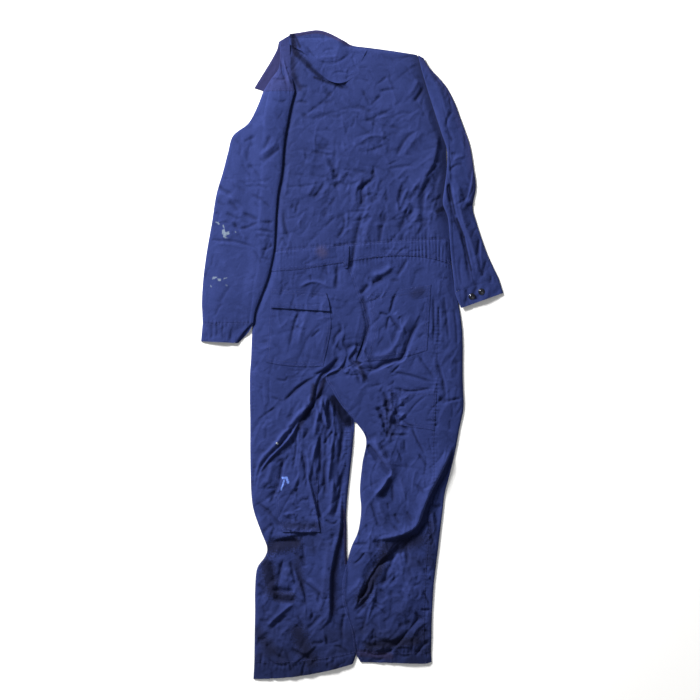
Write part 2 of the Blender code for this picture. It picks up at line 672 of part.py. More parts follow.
def main():
    """Clears the scene and makes the suit."""
    for item in list(bpy.data.objects):
        bpy.data.objects.remove(item, do_unlink=True)
    collection = bpy.data.collections.new(SUIT)
    bpy.context.scene.collection.children.link(collection)
    left, right = leg_grids()
    make_fronts(collection)
    make_placket(collection)
    make_bodice(collection)
    make_waistband(collection)
    make_left_leg_front(collection)
    make_right_leg_front(collection)
    make_leg_backs(collection, left, right)
    make_tube("sleeve_left", LEFT_SLEEVE, collection)
    make_tube("cuff_left", LEFT_CUFF, collection)
    make_tube("sleeve_right", RIGHT_SLEEVE, collection)
    make_tube("cuff_right", RIGHT_CUFF, collection)
    make_shoulder(collection)
    make_collar(collection)
    make_pockets(collection, left, right)
    make_belt_loop(collection)
    make_studs(collection)


main()
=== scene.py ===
"""A boiler suit laid face down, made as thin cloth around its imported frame.

Every panel is a grid of points over the plan: its outline comes from a table of sections, and its
height from the level of the cloth under it plus a relief of creases.
Tables are in millimetres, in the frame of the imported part: +X towards the wearer's right, +Y
towards the collar, +Z up, the surface at Z = 0.
"""

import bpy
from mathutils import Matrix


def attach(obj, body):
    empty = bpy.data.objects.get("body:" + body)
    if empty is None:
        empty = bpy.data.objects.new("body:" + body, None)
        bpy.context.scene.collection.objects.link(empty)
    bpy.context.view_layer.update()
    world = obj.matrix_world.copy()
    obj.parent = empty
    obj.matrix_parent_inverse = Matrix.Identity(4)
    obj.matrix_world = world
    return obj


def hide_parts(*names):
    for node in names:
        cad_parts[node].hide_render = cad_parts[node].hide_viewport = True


bl_info = {
    "name": "Boiler suit laid flat",
    "version": (1, 0, 0),
    "blender": (4, 5, 0),
    "location": "View3D > Sidebar > Boiler Suit",
    "description": "Lays out a boiler suit as thin creased cloth, with its floor and lights",
    "category": "Object",
}

from functools import lru_cache

import bmesh
import bpy
import numpy as np
from bpy.props import FloatProperty, FloatVectorProperty, PointerProperty
from mathutils import Vector

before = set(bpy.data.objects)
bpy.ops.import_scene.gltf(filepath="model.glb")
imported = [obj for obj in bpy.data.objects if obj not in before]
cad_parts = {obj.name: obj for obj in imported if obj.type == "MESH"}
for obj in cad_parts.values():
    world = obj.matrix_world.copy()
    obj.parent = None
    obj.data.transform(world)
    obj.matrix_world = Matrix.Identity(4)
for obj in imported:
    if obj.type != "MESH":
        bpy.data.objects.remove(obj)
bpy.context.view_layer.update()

MM = 0.001
BODY = "root"

GAP = 0.3               # between two pieces at a seam
LOFT = 8.0              # how far the back rises inside its edges
REACH = 50.0            # distance over which it rises slowly
ROUND = 13.0            # and over which it turns up quickly at a fold
QUICK_SHARE = 0.55      # share of the rise made by that quick turn
HEM_LOFT = 0.4          # share of the loft left at the trouser hems
PLACKET = (-12.0, 33.0)     # the fly's two sides, where it starts to narrow, its tip and its line
PLACKET_TAPER = -14.0
PLACKET_TIP = -168.0
CENTRE_FRONT = 8.0
STUD_RADIUS = 7.5

# Sections of the body from the waist up: left end, right end, and how far the middle bows up.
BODICE = (
    # left x, left y, right x, right y, bow
    (-223.0, 254.3, 245.0, 289.3, 4.0),
    (-224.0, 300.0, 243.0, 330.0, 2.0),
    (-222.0, 372.0, 239.0, 392.0, 0.0),
    (-217.0, 455.0, 238.0, 470.0, 0.0),
    (-213.0, 540.0, 234.0, 550.0, 0.0),
    (-207.0, 615.0, 219.0, 622.0, 0.0),
    (-191.0, 680.0, 202.0, 680.0, 2.0),
    (-175.0, 735.0, 184.0, 720.0, 4.0),
    (-170.0, 784.0, 163.0, 750.0, 6.0),
)

# The waistband's upper seam, then the ends of its lower one, whose curve is WAIST_SEAM.
WAIST = (
    (-223.0, 254.0, 245.0, 289.0, 4.0),
    (-228.0, 209.0, 250.0, 225.0, 0.0),
)
WAIST_SEAM = ((-228.0, 209.0), (-14.0, 231.0), (115.0, 246.0), (250.0, 225.0))

# Sections of the left leg: side seam, then centre seam or inner edge, and the middle's bow.
LEFT_LEG = (
    # outer x, outer y, inner x, inner y, bow
    (-228.0, 209.0, -14.0, 231.0, 0.0),     # waist seam
    (-236.0, 169.0, 14.0, 150.0, 0.0),      # top of the flap
    (-238.0, 146.0, 24.0, 128.0, 0.0),
    (-241.0, 121.0, 30.0, 104.0, 0.0),      # foot of the flap
    (-248.0, 60.0, 36.0, 62.0, 0.0),
    (-251.0, -8.0, 10.0, -14.0, -18.0),     # foot of the back pocket
    (-254.0, -52.0, 4.0, -60.0, -6.0),
    (-254.0, -110.0, 4.0, -115.0, 0.0),
    (-253.0, -165.0, 7.0, -172.0, 0.0),     # crotch
    (-253.0, -237.0, 3.0, -230.0, 0.0),
    (-252.0, -300.0, -4.0, -296.0, 0.0),    # top of the leg pocket
    (-250.0, -350.0, -10.0, -352.0, 0.0),
    (-244.0, -390.0, -13.0, -400.0, 0.0),
    (-226.0, -441.0, -12.0, -440.0, 0.0),   # foot of the leg pocket
    (-211.0, -480.0, -12.0, -480.0, 0.0),   # knee
    (-216.0, -504.0, -11.0, -512.0, 0.0),
    (-236.0, -534.0, -9.0, -548.0, 0.0),
    (-241.0, -588.0, -12.0, -600.0, 0.0),
    (-241.0, -640.0, -6.0, -645.0, 0.0),
    (-242.0, -700.0, 8.0, -695.0, -3.0),
    (-243.0, -768.0, 12.0, -742.0, -8.0),   # hem seam
    (-245.0, -809.0, 4.0, -771.0, -10.0),
)

# Sections of the right leg: centre seam or inner edge, side seam on top, outer fold, and bow.
RIGHT_LEG = (
    # inner x, inner y, seam x, seam y, outer x, outer y, bow
    (-14.0, 231.0, 240.0, 225.0, 250.0, 225.0, 0.0),    # waist seam
    (14.0, 150.0, 226.0, 180.0, 256.0, 182.0, 0.0),     # top of the back pocket
    (24.0, 128.0, 222.0, 155.0, 261.0, 157.0, 0.0),
    (30.0, 104.0, 219.0, 120.0, 269.0, 120.0, 0.0),
    (36.0, 62.0, 215.0, 72.0, 276.0, 72.0, 0.0),
    (10.0, -14.0, 214.0, 22.0, 278.0, 28.0, -12.0),     # foot of the back pocket
    (-62.0, -50.0, 214.0, -50.0, 278.0, -50.0, -6.0),
    (-49.0, -87.0, 213.0, -84.0, 279.0, -88.0, 0.0),    # top of the rule pocket
    (-26.0, -125.0, 210.0, -132.0, 280.0, -132.0, 0.0),
    (5.0, -161.0, 207.0, -187.0, 269.0, -187.0, 0.0),   # foot of the rule pocket
    (36.0, -209.0, 206.0, -240.0, 258.0, -246.0, 0.0),
    (27.0, -272.0, 206.0, -300.0, 245.0, -300.0, 0.0),
    (21.0, -335.0, 204.0, -350.0, 233.0, -346.0, 0.0),
    (24.0, -387.0, 200.0, -395.0, 227.0, -395.0, 0.0),
    (17.0, -439.0, 196.0, -445.0, 221.0, -445.0, 0.0),
    (0.0, -479.0, 192.0, -487.0, 216.0, -487.0, 0.0),
    (-9.0, -511.0, 189.0, -520.0, 212.0, -520.0, 0.0),
    (-23.0, -565.0, 186.0, -570.0, 206.0, -570.0, 0.0),
    (-24.0, -611.0, 184.0, -615.0, 203.0, -615.0, 0.0),
    (-15.0, -645.0, 183.0, -650.0, 201.0, -650.0, 0.0),
    (0.0, -690.0, 182.0, -700.0, 200.0, -700.0, 0.0),
    (8.0, -738.0, 182.0, -742.0, 199.0, -740.0, 0.0),   # hem seam
    (22.0, -767.0, 184.0, -771.0, 200.0, -767.0, 0.0),
)

# Sections of the left sleeve from the shoulder to the cuff: outer fold, inner fold.
LEFT_SLEEVE = (
    # outer x, outer y, inner x, inner y
    (-221.0, 657.2, -141.0, 657.2),
    (-236.0, 619.0, -152.0, 617.0),
    (-258.0, 579.0, -160.0, 575.0),
    (-296.0, 548.0, -166.0, 540.0),
    (-309.0, 505.0, -170.0, 500.0),
    (-322.0, 455.0, -174.0, 452.0),
    (-338.0, 400.0, -184.0, 398.0),
    (-349.0, 330.0, -189.0, 330.0),
    (-361.0, 262.0, -193.0, 262.0),
    (-370.0, 195.0, -207.0, 197.0),
    (-374.0, 135.0, -227.0, 143.0),
    (-373.0, 105.0, -240.0, 108.0),
    (-372.0, 79.3, -244.0, 80.3),
)
LEFT_CUFF = (
    (-372.0, 78.6, -244.0, 79.4),
    (-374.0, 57.0, -258.0, 56.0),
    (-376.0, 34.0, -283.0, 30.0),
)
RIGHT_SLEEVE = (
    (180.0, 741.0, 166.0, 748.0),
    (194.0, 718.0, 174.0, 714.0),
    (234.0, 674.0, 187.0, 670.0),
    (258.0, 630.0, 201.0, 626.0),
    (271.0, 595.0, 212.0, 592.0),
    (285.0, 557.0, 225.0, 552.0),
    (297.0, 519.0, 238.0, 512.0),
    (305.0, 470.0, 238.0, 466.0),
    (311.0, 420.0, 232.0, 418.0),
    (303.0, 371.0, 228.0, 378.0),
    (311.0, 335.0, 241.0, 338.0),
    (335.0, 263.0, 247.0, 261.0),
    (352.0, 224.0, 252.0, 212.0),
    (367.0, 193.2, 258.0, 157.2),
)
RIGHT_CUFF = (
    (367.0, 193.0, 258.0, 157.0),
    (373.0, 175.0, 264.0, 138.0),
    (379.0, 155.0, 274.0, 117.0),
)

# The front yoke where it turns over the left shoulder: left edge, right edge.
SHOULDER = (
    (-221.0, 657.0, -141.0, 657.0),
    (-202.0, 687.0, -147.0, 688.0),
    (-182.0, 715.0, -151.0, 718.0),
    (-178.0, 750.0, -153.0, 756.0),
    (-181.0, 782.0, -153.0, 798.0),
)


# The left collar point, flat on the surface: free edge, hidden edge.
COLLAR_POINT = (
    (-243.0, 667.0, -217.0, 658.0),
    (-219.0, 706.0, -191.0, 700.0),
    (-203.0, 732.0, -178.0, 730.0),
    (-195.0, 746.0, -175.0, 746.0),
    (-186.0, 764.0, -174.0, 764.0),
    (-182.0, 782.0, -173.0, 784.0),
)

BELT_LOOP = (
    (-20.0, 276.0, -6.0, 276.0),
    (-21.0, 246.0, -7.0, 246.0),
    (-20.0, 216.0, -9.0, 216.0),
)

STUDS = ((324.0, 158.0), (300.0, 146.0))

# Creases: half width, height (a trough is negative), lean (above 0 its left side is the steep one,
# going from its first point to its last), then the points of its line.
TORSO_CREASES = (
    (5, -3.2, 0.2, 68, 656, 90, 662, 112, 663),
    (4, -2.2, 0.0, 61, 674, 76, 683, 90, 697),
    (3, -1.6, 0.0, 5, 689, 26, 687, 48, 681),
    (6, -3.4, 0.0, 46, 620, 60, 634, 75, 650),
    (4, -2.2, 0.0, 26, 661, 39, 638, 48, 616),
    (8, -4.4, 0.3, 155, 630, 168, 648, 181, 670),
    (8, 2.5, -0.3, 140, 640, 156, 664, 170, 690),
    (6, -3.0, 0.4, 171, 562, 141, 543, 122, 514, 111, 488),
    (9, 2.2, 0.0, 180, 556, 150, 528, 128, 496),
    (5, -2.2, 0.2, 88, 463, 125, 471, 158, 473),
    (6, 2.8, -0.4, 18, 528, 48, 545, 77, 545, 104, 533),
    (5, -2.2, 0.3, 20, 505, 52, 512, 90, 527),
    (4, -1.6, 0.0, 4, 542, 26, 549, 48, 553),
    (4, -1.8, 0.0, 50, 579, 62, 571, 72, 561),
    (4, -1.8, 0.2, 20, 582, 48, 588, 76, 602, 104, 614),
    (5, -1.2, 0.3, -100, 556, -80, 560, -56, 562),
    (7, -2.0, 0.3, -88, 551, -68, 538, -50, 523),
    (9, -1.2, 0.2, -82, 531, -66, 520, -50, 507),
    (4, -2.0, 0.0, -103, 505, -76, 504, -50, 497),
    (7, -3.2, 0.3, -58, 494, -48, 473, -34, 443),
    (10, 2.8, 0.0, -72, 500, -58, 470, -46, 440),
    (4, -2.2, 0.0, -20, 462, 4, 461),
    (4, -2.2, 0.0, -49, 434, -31, 451),
    (4, -1.8, 0.0, -141, 450, -117, 449),
    (4, -2.2, 0.0, 31, 435, 50, 433, 59, 442),
    (5, -3.2, 0.0, 55, 474, 57, 457, 58, 440),
    (4, -1.8, 0.0, 89, 463, 112, 441),
    (20, 6.0, 0.62, 222, 570, 214, 530, 204, 480, 178, 430, 174, 392),
    (5, -2.4, 0.0, 213, 474, 198, 457, 182, 440),
    (6, -3.2, 0.2, -142, 630, -124, 632, -106, 629),
    (5, -2.8, 0.2, -136, 668, -121, 669, -106, 667),
    (4, -1.6, 0.0, 19, 716, 43, 716),
    (4, -1.8, 0.2, -170, 421, -137, 420, -104, 424, -72, 430),
    (5, -2.8, 0.2, -97, 388, -76, 416, -66, 436),
    (9, 2.4, 0.0, -112, 392, -96, 420, -88, 440),
    (4, -1.8, 0.0, -58, 369, -37, 397),
    (10, -4.4, 0.0, -42, 415, -34, 424, -26, 433),
    (5, -2.8, 0.2, -29, 435, -6, 417),
    (7, -4.6, 0.4, 25, 366, 26, 392, 27, 420, 56, 435),
    (12, 3.2, -0.2, 12, 366, 10, 400, 20, 430, 48, 452),
    (4, -2.2, 0.0, -7, 357, 20, 359, 46, 360),
    (8, -4.6, 0.3, 46, 360, 29, 351, 22, 332, 13, 296, 7, 258, 0, 213, -6, 187),
    (13, 3.4, 0.0, 66, 372, 44, 330, 34, 296, 28, 260),
    (6, -2.8, 0.2, -22, 352, -17, 322, -36, 286),
    (5, -2.4, 0.2, -68, 318, -40, 345),
    (4, -2.0, 0.0, -7, 332, 18, 336, 46, 345),
    (8, -3.4, 0.3, 91, 350, 77, 316, 70, 276),
    (4, -2.2, 0.0, 103, 342, 126, 324),
    (8, -4.0, 0.3, 158, 374, 144, 344, 125, 322, 121, 302),
    (11, 3.2, -0.2, 172, 372, 158, 336, 142, 312, 138, 292),
    (4, -2.2, 0.0, 145, 371, 131, 347),
    (6, -3.4, 0.2, -170, 366, -166, 328, -152, 283),
    (10, 3.0, 0.0, -186, 366, -180, 330, -168, 296),
    (5, -2.8, 0.0, -172, 294, -183, 269),
    (5, -2.8, 0.0, -172, 294, -159, 269),
    (4, -1.8, 0.0, -161, 338, -136, 344),
    (12, -4.0, 0.2, 180, 412, 178, 365, 176, 318),
    (6, -2.4, 0.2, 201, 381, 229, 400),
    (7, -2.2, 0.0, -128, 600, -96, 590, -60, 604),
    (9, 2.0, 0.0, -120, 482, -92, 474, -66, 478),
    (6, -2.2, 0.2, 96, 590, 128, 604, 152, 600),
    (9, 2.6, 0.2, 60, 512, 84, 494, 100, 466),
    (8, 2.6, 0.0, 190, 360, 212, 352, 232, 356),
    (3, -1.4, 0.0, 141, 258, 180, 261),
    (4, -2.0, 0.0, -45, 271, -22, 274, 1, 276),
)

SEAT_CREASES = (
    (10, 4.4, -0.4, 48, 197, 77, 203, 108, 224),
    (9, -5.0, 0.3, 50, 181, 64, 184, 78, 194),
    (6, -3.0, 0.3, 142, 243, 128, 216, 111, 193),
    (4, -1.8, 0.0, 99, 186, 123, 186),
    (7, -4.6, 0.3, 46, 177, 34, 163, 22, 151),
    (6, 3.0, -0.3, -132, 168, -102, 182, -76, 179, -50, 165),
    (4, -1.8, 0.0, -101, 201, -101, 183),
    (8, -3.4, 0.0, -35, 228, -36, 195, -38, 161),
    (4, -1.8, 0.0, -64, 227, -60, 196),
    (5, -2.6, 0.2, -33, 84, -25, 64, -41, 42, -36, 16, -20, 12),
    (5, -2.6, 0.2, -34, 14, -18, -2, -26, -25),
    (11, -4.0, 0.2, 26, 150, 38, 112, 42, 64, 28, 16),
    (8, -3.2, 0.0, 27, 20, 6, 24, -14, 14),
    (7, -3.0, 0.2, 2, -16, 14, -46, 28, -82),
    (5, 2.4, 0.0, 12, -20, 26, -50, 22, -78),
    (4, -2.0, 0.0, -3, -50, 20, -50),
)

LEFT_LEG_CREASES = (
    (5, -2.8, 0.2, -129, 114, -143, 71, -155, 18),
    (10, 2.2, 0.0, -112, 108, -124, 66, -134, 24),
    (4, -2.0, 0.0, -140, 73, -116, 59),
    (4, -2.2, 0.0, -103, 42, -76, 65),
    (4, -2.0, 0.0, -188, -61, -165, -64, -158, -51),
    (6, -3.0, 0.3, -170, -117, -132, -79, -94, -53),
    (8, -5.0, 0.4, -97, -51, -62, -35, -28, -5),
    (15, 5.0, -0.55, -100, -88, -112, -124, -134, -150, -158, -182, -190, -222, -226, -262, -240, -312,
     -246, -366),
    (9, -6.0, 0.5, -84, -60, -91, -104, -104, -138, -134, -168, -152, -194, -176, -224, -204, -252,
     -226, -282, -238, -318, -244, -352),
    (7, -3.0, 0.3, -22, -26, -55, -40, -80, -64),
    (5, -2.8, 0.2, -99, -121, -126, -136),
    (5, -2.6, 0.2, -148, -174, -168, -188),
    (8, 4.6, 0.0, -70, -96, -76, -128, -88, -168, -94, -210),
    (6, 4.2, -0.2, -62, -100, -66, -140, -58, -176, -48, -184),
    (5, -3.8, 0.2, -84, -110, -78, -150, -66, -178, -54, -188),
    (5, 3.4, 0.3, -46, -122, -46, -150, -46, -180),
    (5, -3.4, 0.0, -57, -112, -60, -134, -54, -158),
    (6, -4.6, 0.2, -33, -122, -22, -160, -20, -196, -28, -244, -31, -284),
    (4, -2.6, 0.0, -48, -190, -42, -200, -34, -196),
    (4, -2.8, 0.0, -46, -188, -62, -212, -70, -226),
    (5, -2.8, 0.2, -117, -184, -108, -190, -124, -214),
    (5, -3.0, 0.3, -139, -206, -138, -240, -146, -288),
    (9, 3.4, 0.2, -128, -204, -126, -246, -132, -296, -146, -340),
    (7, -4.4, 0.4, -170, -256, -174, -290, -180, -322),
    (12, -4.2, 0.5, -178, -316, -190, -342, -202, -368),
    (12, 3.2, 0.0, -196, -262, -204, -296, -216, -330),
    (5, -3.4, 0.2, -124, -240, -116, -280, -110, -332),
    (7, 3.2, 0.0, -114, -232, -108, -262, -102, -300),
    (6, -3.4, 0.2, -77, -190, -79, -240, -76, -304),
    (8, 3.0, 0.0, -92, -212, -92, -262, -88, -312),
    (4, -2.4, 0.0, -64, -188, -62, -240),
    (7, 3.0, 0.0, -50, -206, -52, -262, -58, -330),
    (7, -3.0, 0.2, -62, -262, -66, -310, -60, -350),
    (8, -4.8, 0.3, -22, -290, -28, -340, -36, -380, -46, -410),
    (10, 3.2, 0.0, -44, -306, -48, -356, -56, -400),
    (4, -2.6, 0.0, -66, -411, -46, -421, -30, -411),
    (5, -2.6, 0.2, -84, -362, -80, -390, -72, -418),
    (16, 3.0, -0.3, -54, -452, -64, -520, -70, -580, -76, -624, -100, -656),
    (6, -3.0, 0.3, -236, -368, -216, -382, -196, -402, -170, -432),
    (12, 3.0, 0.2, -240, -396, -216, -424, -196, -446),
    (13, -5.0, 0.4, -208, -470, -180, -462, -150, -462, -124, -470),
    (14, -4.6, 0.0, -204, -512, -196, -540, -192, -574),
    (6, -3.4, 0.3, -170, -508, -178, -545, -185, -584),
    (6, -3.4, -0.3, -153, -510, -146, -545, -138, -580),
    (12, 3.4, 0.0, -162, -528, -162, -566),
    (10, -7.0, 0.45, -142, -590, -170, -590, -200, -586),
    (12, -4.4, 0.3, -138, -612, -166, -616, -196, -604),
    (4, -3.0, 0.2, -126, -560, -100, -579, -80, -597, -57, -628),
    (8, 2.6, 0.2, -112, -556, -86, -576, -66, -600),
    (7, -3.0, 0.2, -142, -520, -122, -568, -116, -610, -120, -644),
    (5, 2.6, 0.0, -214, -680, -190, -656, -166, -636, -138, -614),
    (5, -2.2, 0.0, -206, -688, -180, -664, -156, -646),
    (8, -4.0, 0.3, -74, -646, -92, -668, -112, -686),
    (5, -3.0, 0.2, -136, -650, -124, -668, -118, -682),
    (5, -2.6, 0.0, -100, -632, -98, -650, -104, -668),
    (6, -3.2, 0.2, -66, -712, -80, -719, -100, -719),
    (5, -2.8, 0.2, -64, -702, -58, -720, -50, -730),
    (5, -2.8, 0.2, -46, -724, -26, -730, -6, -746),
    (5, -3.2, 0.2, -14, -636, -22, -676, -22, -716),
    (9, -4.2, 0.3, -150, -730, -128, -746, -98, -758),
    (5, 2.4, 0.0, -144, -726, -128, -738, -112, -744),
    (9, -3.6, 0.3, -212, -714, -196, -742, -164, -762),
    (6, -3.0, 0.0, -236, -704, -226, -712, -212, -704),
    (5, -3.0, 0.0, -210, -752, -196, -768, -170, -774, -150, -766),
    (4, -2.4, 0.0, -166, -730, -158, -752, -146, -798),
    (4, -2.0, 0.0, -222, -744, -228, -772),
    (4, -2.2, 0.0, -118, -770, -122, -800),
    (4, -1.8, 0.0, -62, -756, -58, -786),
    (4, -2.0, 0.0, -236, -165, -212, -146, -186, -129),
    (4, -1.6, 0.0, -201, -105, -168, -116),
    (3, -1.2, 0.0, -220, -57, -222, -92, -220, -128),
    (3, -1.2, 0.0, -205, -57, -206, -92, -204, -128),
    (6, -2.6, 0.0, -236, -570, -216, -590, -232, -604),
    (6, -2.8, 0.2, -122, -470, -118, -500, -112, -520),
    (8, -3.2, 0.2, -126, -500, -118, -520, -112, -530),
)

RIGHT_LEG_CREASES = (
    (9, -5.0, 0.3, 177, 95, 154, 57, 136, 13, 118, -13, 81, -24, 50, -39, 17, -31),
    (13, 3.6, -0.2, 150, 104, 126, 62, 108, 22, 84, 2, 48, -6),
    (4, -2.4, 0.0, 122, -24, 98, -47),
    (5, -2.8, 0.2, 98, -42, 143, -50, 204, -68),
    (5, -3.0, 0.2, 164, 3, 191, -35, 210, -62),
    (5, -2.8, 0.0, 94, 99, 110, 154),
    (5, -2.8, 0.0, 94, 99, 69, 105),
    (5, -3.2, 0.0, 94, 99, 126, 56),
    (5, -2.8, 0.0, 94, 99, 87, 62),
    (9, 2.6, 0.0, 108, 106, 120, 92),
    (5, -3.0, 0.2, 216, -16, 225, -50, 231, -72, 236, -114),
    (9, -4.0, 0.0, 217, -110, 228, -112, 237, -120),
    (4, -2.6, 0.0, 235, -117, 252, -112, 276, -108),
    (5, -2.4, 0.2, 231, 150, 238, 92, 243, 34),
    (4, -2.0, 0.0, 205, 150, 206, 84, 204, 18),
    (4, -2.0, 0.0, 217, 128, 219, 84, 217, 22),
    (4, -2.0, 0.0, 256, 120, 262, 70, 264, 12),
    (5, -2.8, 0.2, 102, -82, 143, -90, 200, -83),
    (6, -3.4, 0.2, 80, -190, 104, -199, 144, -198),
    (9, -4.0, 0.4, 98, -158, 122, -176, 146, -188),
    (5, -3.4, 0.3, 98, -136, 120, -156, 143, -174, 162, -180),
    (4, -2.8, 0.2, 150, -176, 162, -206, 186, -252),
    (4, -2.8, 0.2, 164, -244, 178, -260, 192, -282),
    (4, -1.6, 0.0, 184, -163, 218, -163),
    (4, -2.4, 0.0, 208, -178, 220, -168),
    (6, -4.0, 0.0, 78, -90, 88, -114, 84, -132),
    (6, -4.2, 0.0, 74, -148, 82, -172, 84, -196),
    (5, -3.2, 0.0, 96, -108, 92, -134, 96, -150),
    (7, 3.4, 0.0, 96, -92, 98, -132, 94, -178),
    (6, -3.2, 0.0, 62, -132, 76, -144, 70, -160),
    (5, -2.6, 0.0, 100, -92, 110, -114),
    (5, -2.8, 0.0, 100, -116, 112, -138, 116, -152),
    (9, -4.4, 0.3, 72, -222, 82, -238, 96, -262),
    (4, -2.4, 0.0, 115, -234, 121, -250, 128, -268),
    (4, -2.0, 0.0, 132, -210, 134, -240),
    (11, 6.5, -0.5, 50, -206, 66, -234, 84, -262, 100, -290, 84, -322, 60, -346, 48, -368),
    (10, -7.0, -0.4, 40, -222, 52, -246, 68, -270),
    (9, -7.0, -0.5, 94, -304, 86, -328, 64, -350),
    (5, -3.2, 0.2, 50, -368, 60, -400, 68, -426, 76, -420),
    (9, 3.0, 0.0, 66, -364, 76, -396, 92, -412),
    (4, -2.4, 0.0, 90, -368, 94, -386),
    (4, -2.8, 0.2, 108, -394, 114, -410, 122, -422),
    (4, -2.4, 0.0, 136, -388, 146, -404, 152, -418),
    (4, -2.4, 0.0, 104, -424, 114, -436, 128, -446),
    (5, -2.4, 0.2, 158, -320, 178, -340, 190, -356),
    (8, 2.4, 0.0, 120, -300, 132, -350, 150, -392),
    (6, -2.0, 0.0, 96, -300, 104, -340, 104, -370),
    (16, 7.0, 0.55, 254, -226, 236, -264, 218, -300, 198, -334, 186, -364, 174, -392, 166, -416, 150,
     -434, 124, -446, 92, -455, 66, -456, 44, -440),
    (12, -7.0, 0.4, 262, -232, 244, -270, 226, -304, 208, -338, 196, -366, 186, -396, 178, -422, 158,
     -446, 126, -460, 94, -468),
    (5, -3.2, 0.2, 180, -382, 186, -406, 197, -432),
    (5, -2.8, 0.2, 204, -388, 210, -404, 216, -422),
    (5, -2.6, 0.0, 194, -366, 210, -378, 226, -374),
    (8, 2.6, 0.0, 196, -392, 204, -420, 204, -452),
    (9, -5.0, 0.3, 138, -448, 134, -476, 118, -500),
    (6, -3.4, 0.2, 128, -478, 136, -494, 140, -470),
    (17, -7.0, 0.4, 126, -470, 104, -502, 72, -518, 48, -538, 38, -570),
    (10, -4.6, 0.2, 110, -512, 92, -534, 84, -562, 72, -580),
    (12, -4.6, 0.3, 42, -544, 34, -582, 18, -606, -2, -632),
    (6, 3.4, 0.0, 54, -546, 48, -580, 30, -606, 8, -632),
    (5, -3.2, 0.0, 58, -556, 48, -592, 26, -620, 6, -642),
    (6, 3.0, 0.0, 62, -570, 54, -604, 34, -628),
    (6, -3.4, 0.2, 44, -616, 28, -632, 12, -650),
    (4, -2.6, 0.0, 50, -606, 62, -618, 78, -626),
    (4, -2.6, 0.0, 52, -620, 74, -636, 92, -652),
    (4, -2.0, 0.0, 70, -584, 86, -596),
    (6, -3.0, 0.2, 42, -622, 38, -650, 26, -690),
    (4, -2.8, 0.2, 2, -523, 20, -510, 36, -488),
    (6, -3.0, 0.0, 0, -471, 26, -472, 40, -468),
    (9, -3.8, 0.0, 52, -462, 68, -470, 66, -484),
    (22, 4.4, 0.0, 150, -566, 142, -600, 120, -650),
    (11, -5.6, 0.4, 194, -652, 162, -662, 138, -686, 120, -712, 96, -738, 60, -742),
    (12, -4.0, 0.3, 150, -664, 132, -674, 116, -676),
    (6, -4.4, 0.3, 96, -710, 74, -711, 56, -706, 44, -716),
    (9, -3.8, 0.2, 20, -712, 44, -722, 76, -726),
    (5, -3.0, 0.2, 166, -510, 180, -532, 196, -548),
    (5, -3.0, 0.2, 194, -554, 206, -568),
    (4, -2.8, 0.2, 180, -584, 188, -606, 200, -632),
    (5, -3.4, 0.2, 172, -634, 186, -637, 202, -636),
    (6, -3.6, 0.3, 160, -640, 170, -656, 192, -666),
    (5, -3.2, 0.0, 182, -686, 200, -698),
    (6, -5.0, 0.3, 198, -718, 184, -722, 172, -734, 160, -752),
    (5, -2.6, 0.0, 150, -704, 154, -722, 146, -740),
    (5, -2.8, 0.2, 28, -738, 60, -748, 96, -744),
    (5, -2.6, 0.0, 48, -754, 66, -762, 84, -756),
    (4, -2.2, 0.0, 110, -742, 128, -752, 150, -748),
    (5, 2.2, 0.0, 100, -740, 114, -728, 130, -716),
    (5, -2.2, 0.0, -6, -680, 4, -706, 8, -736),
)

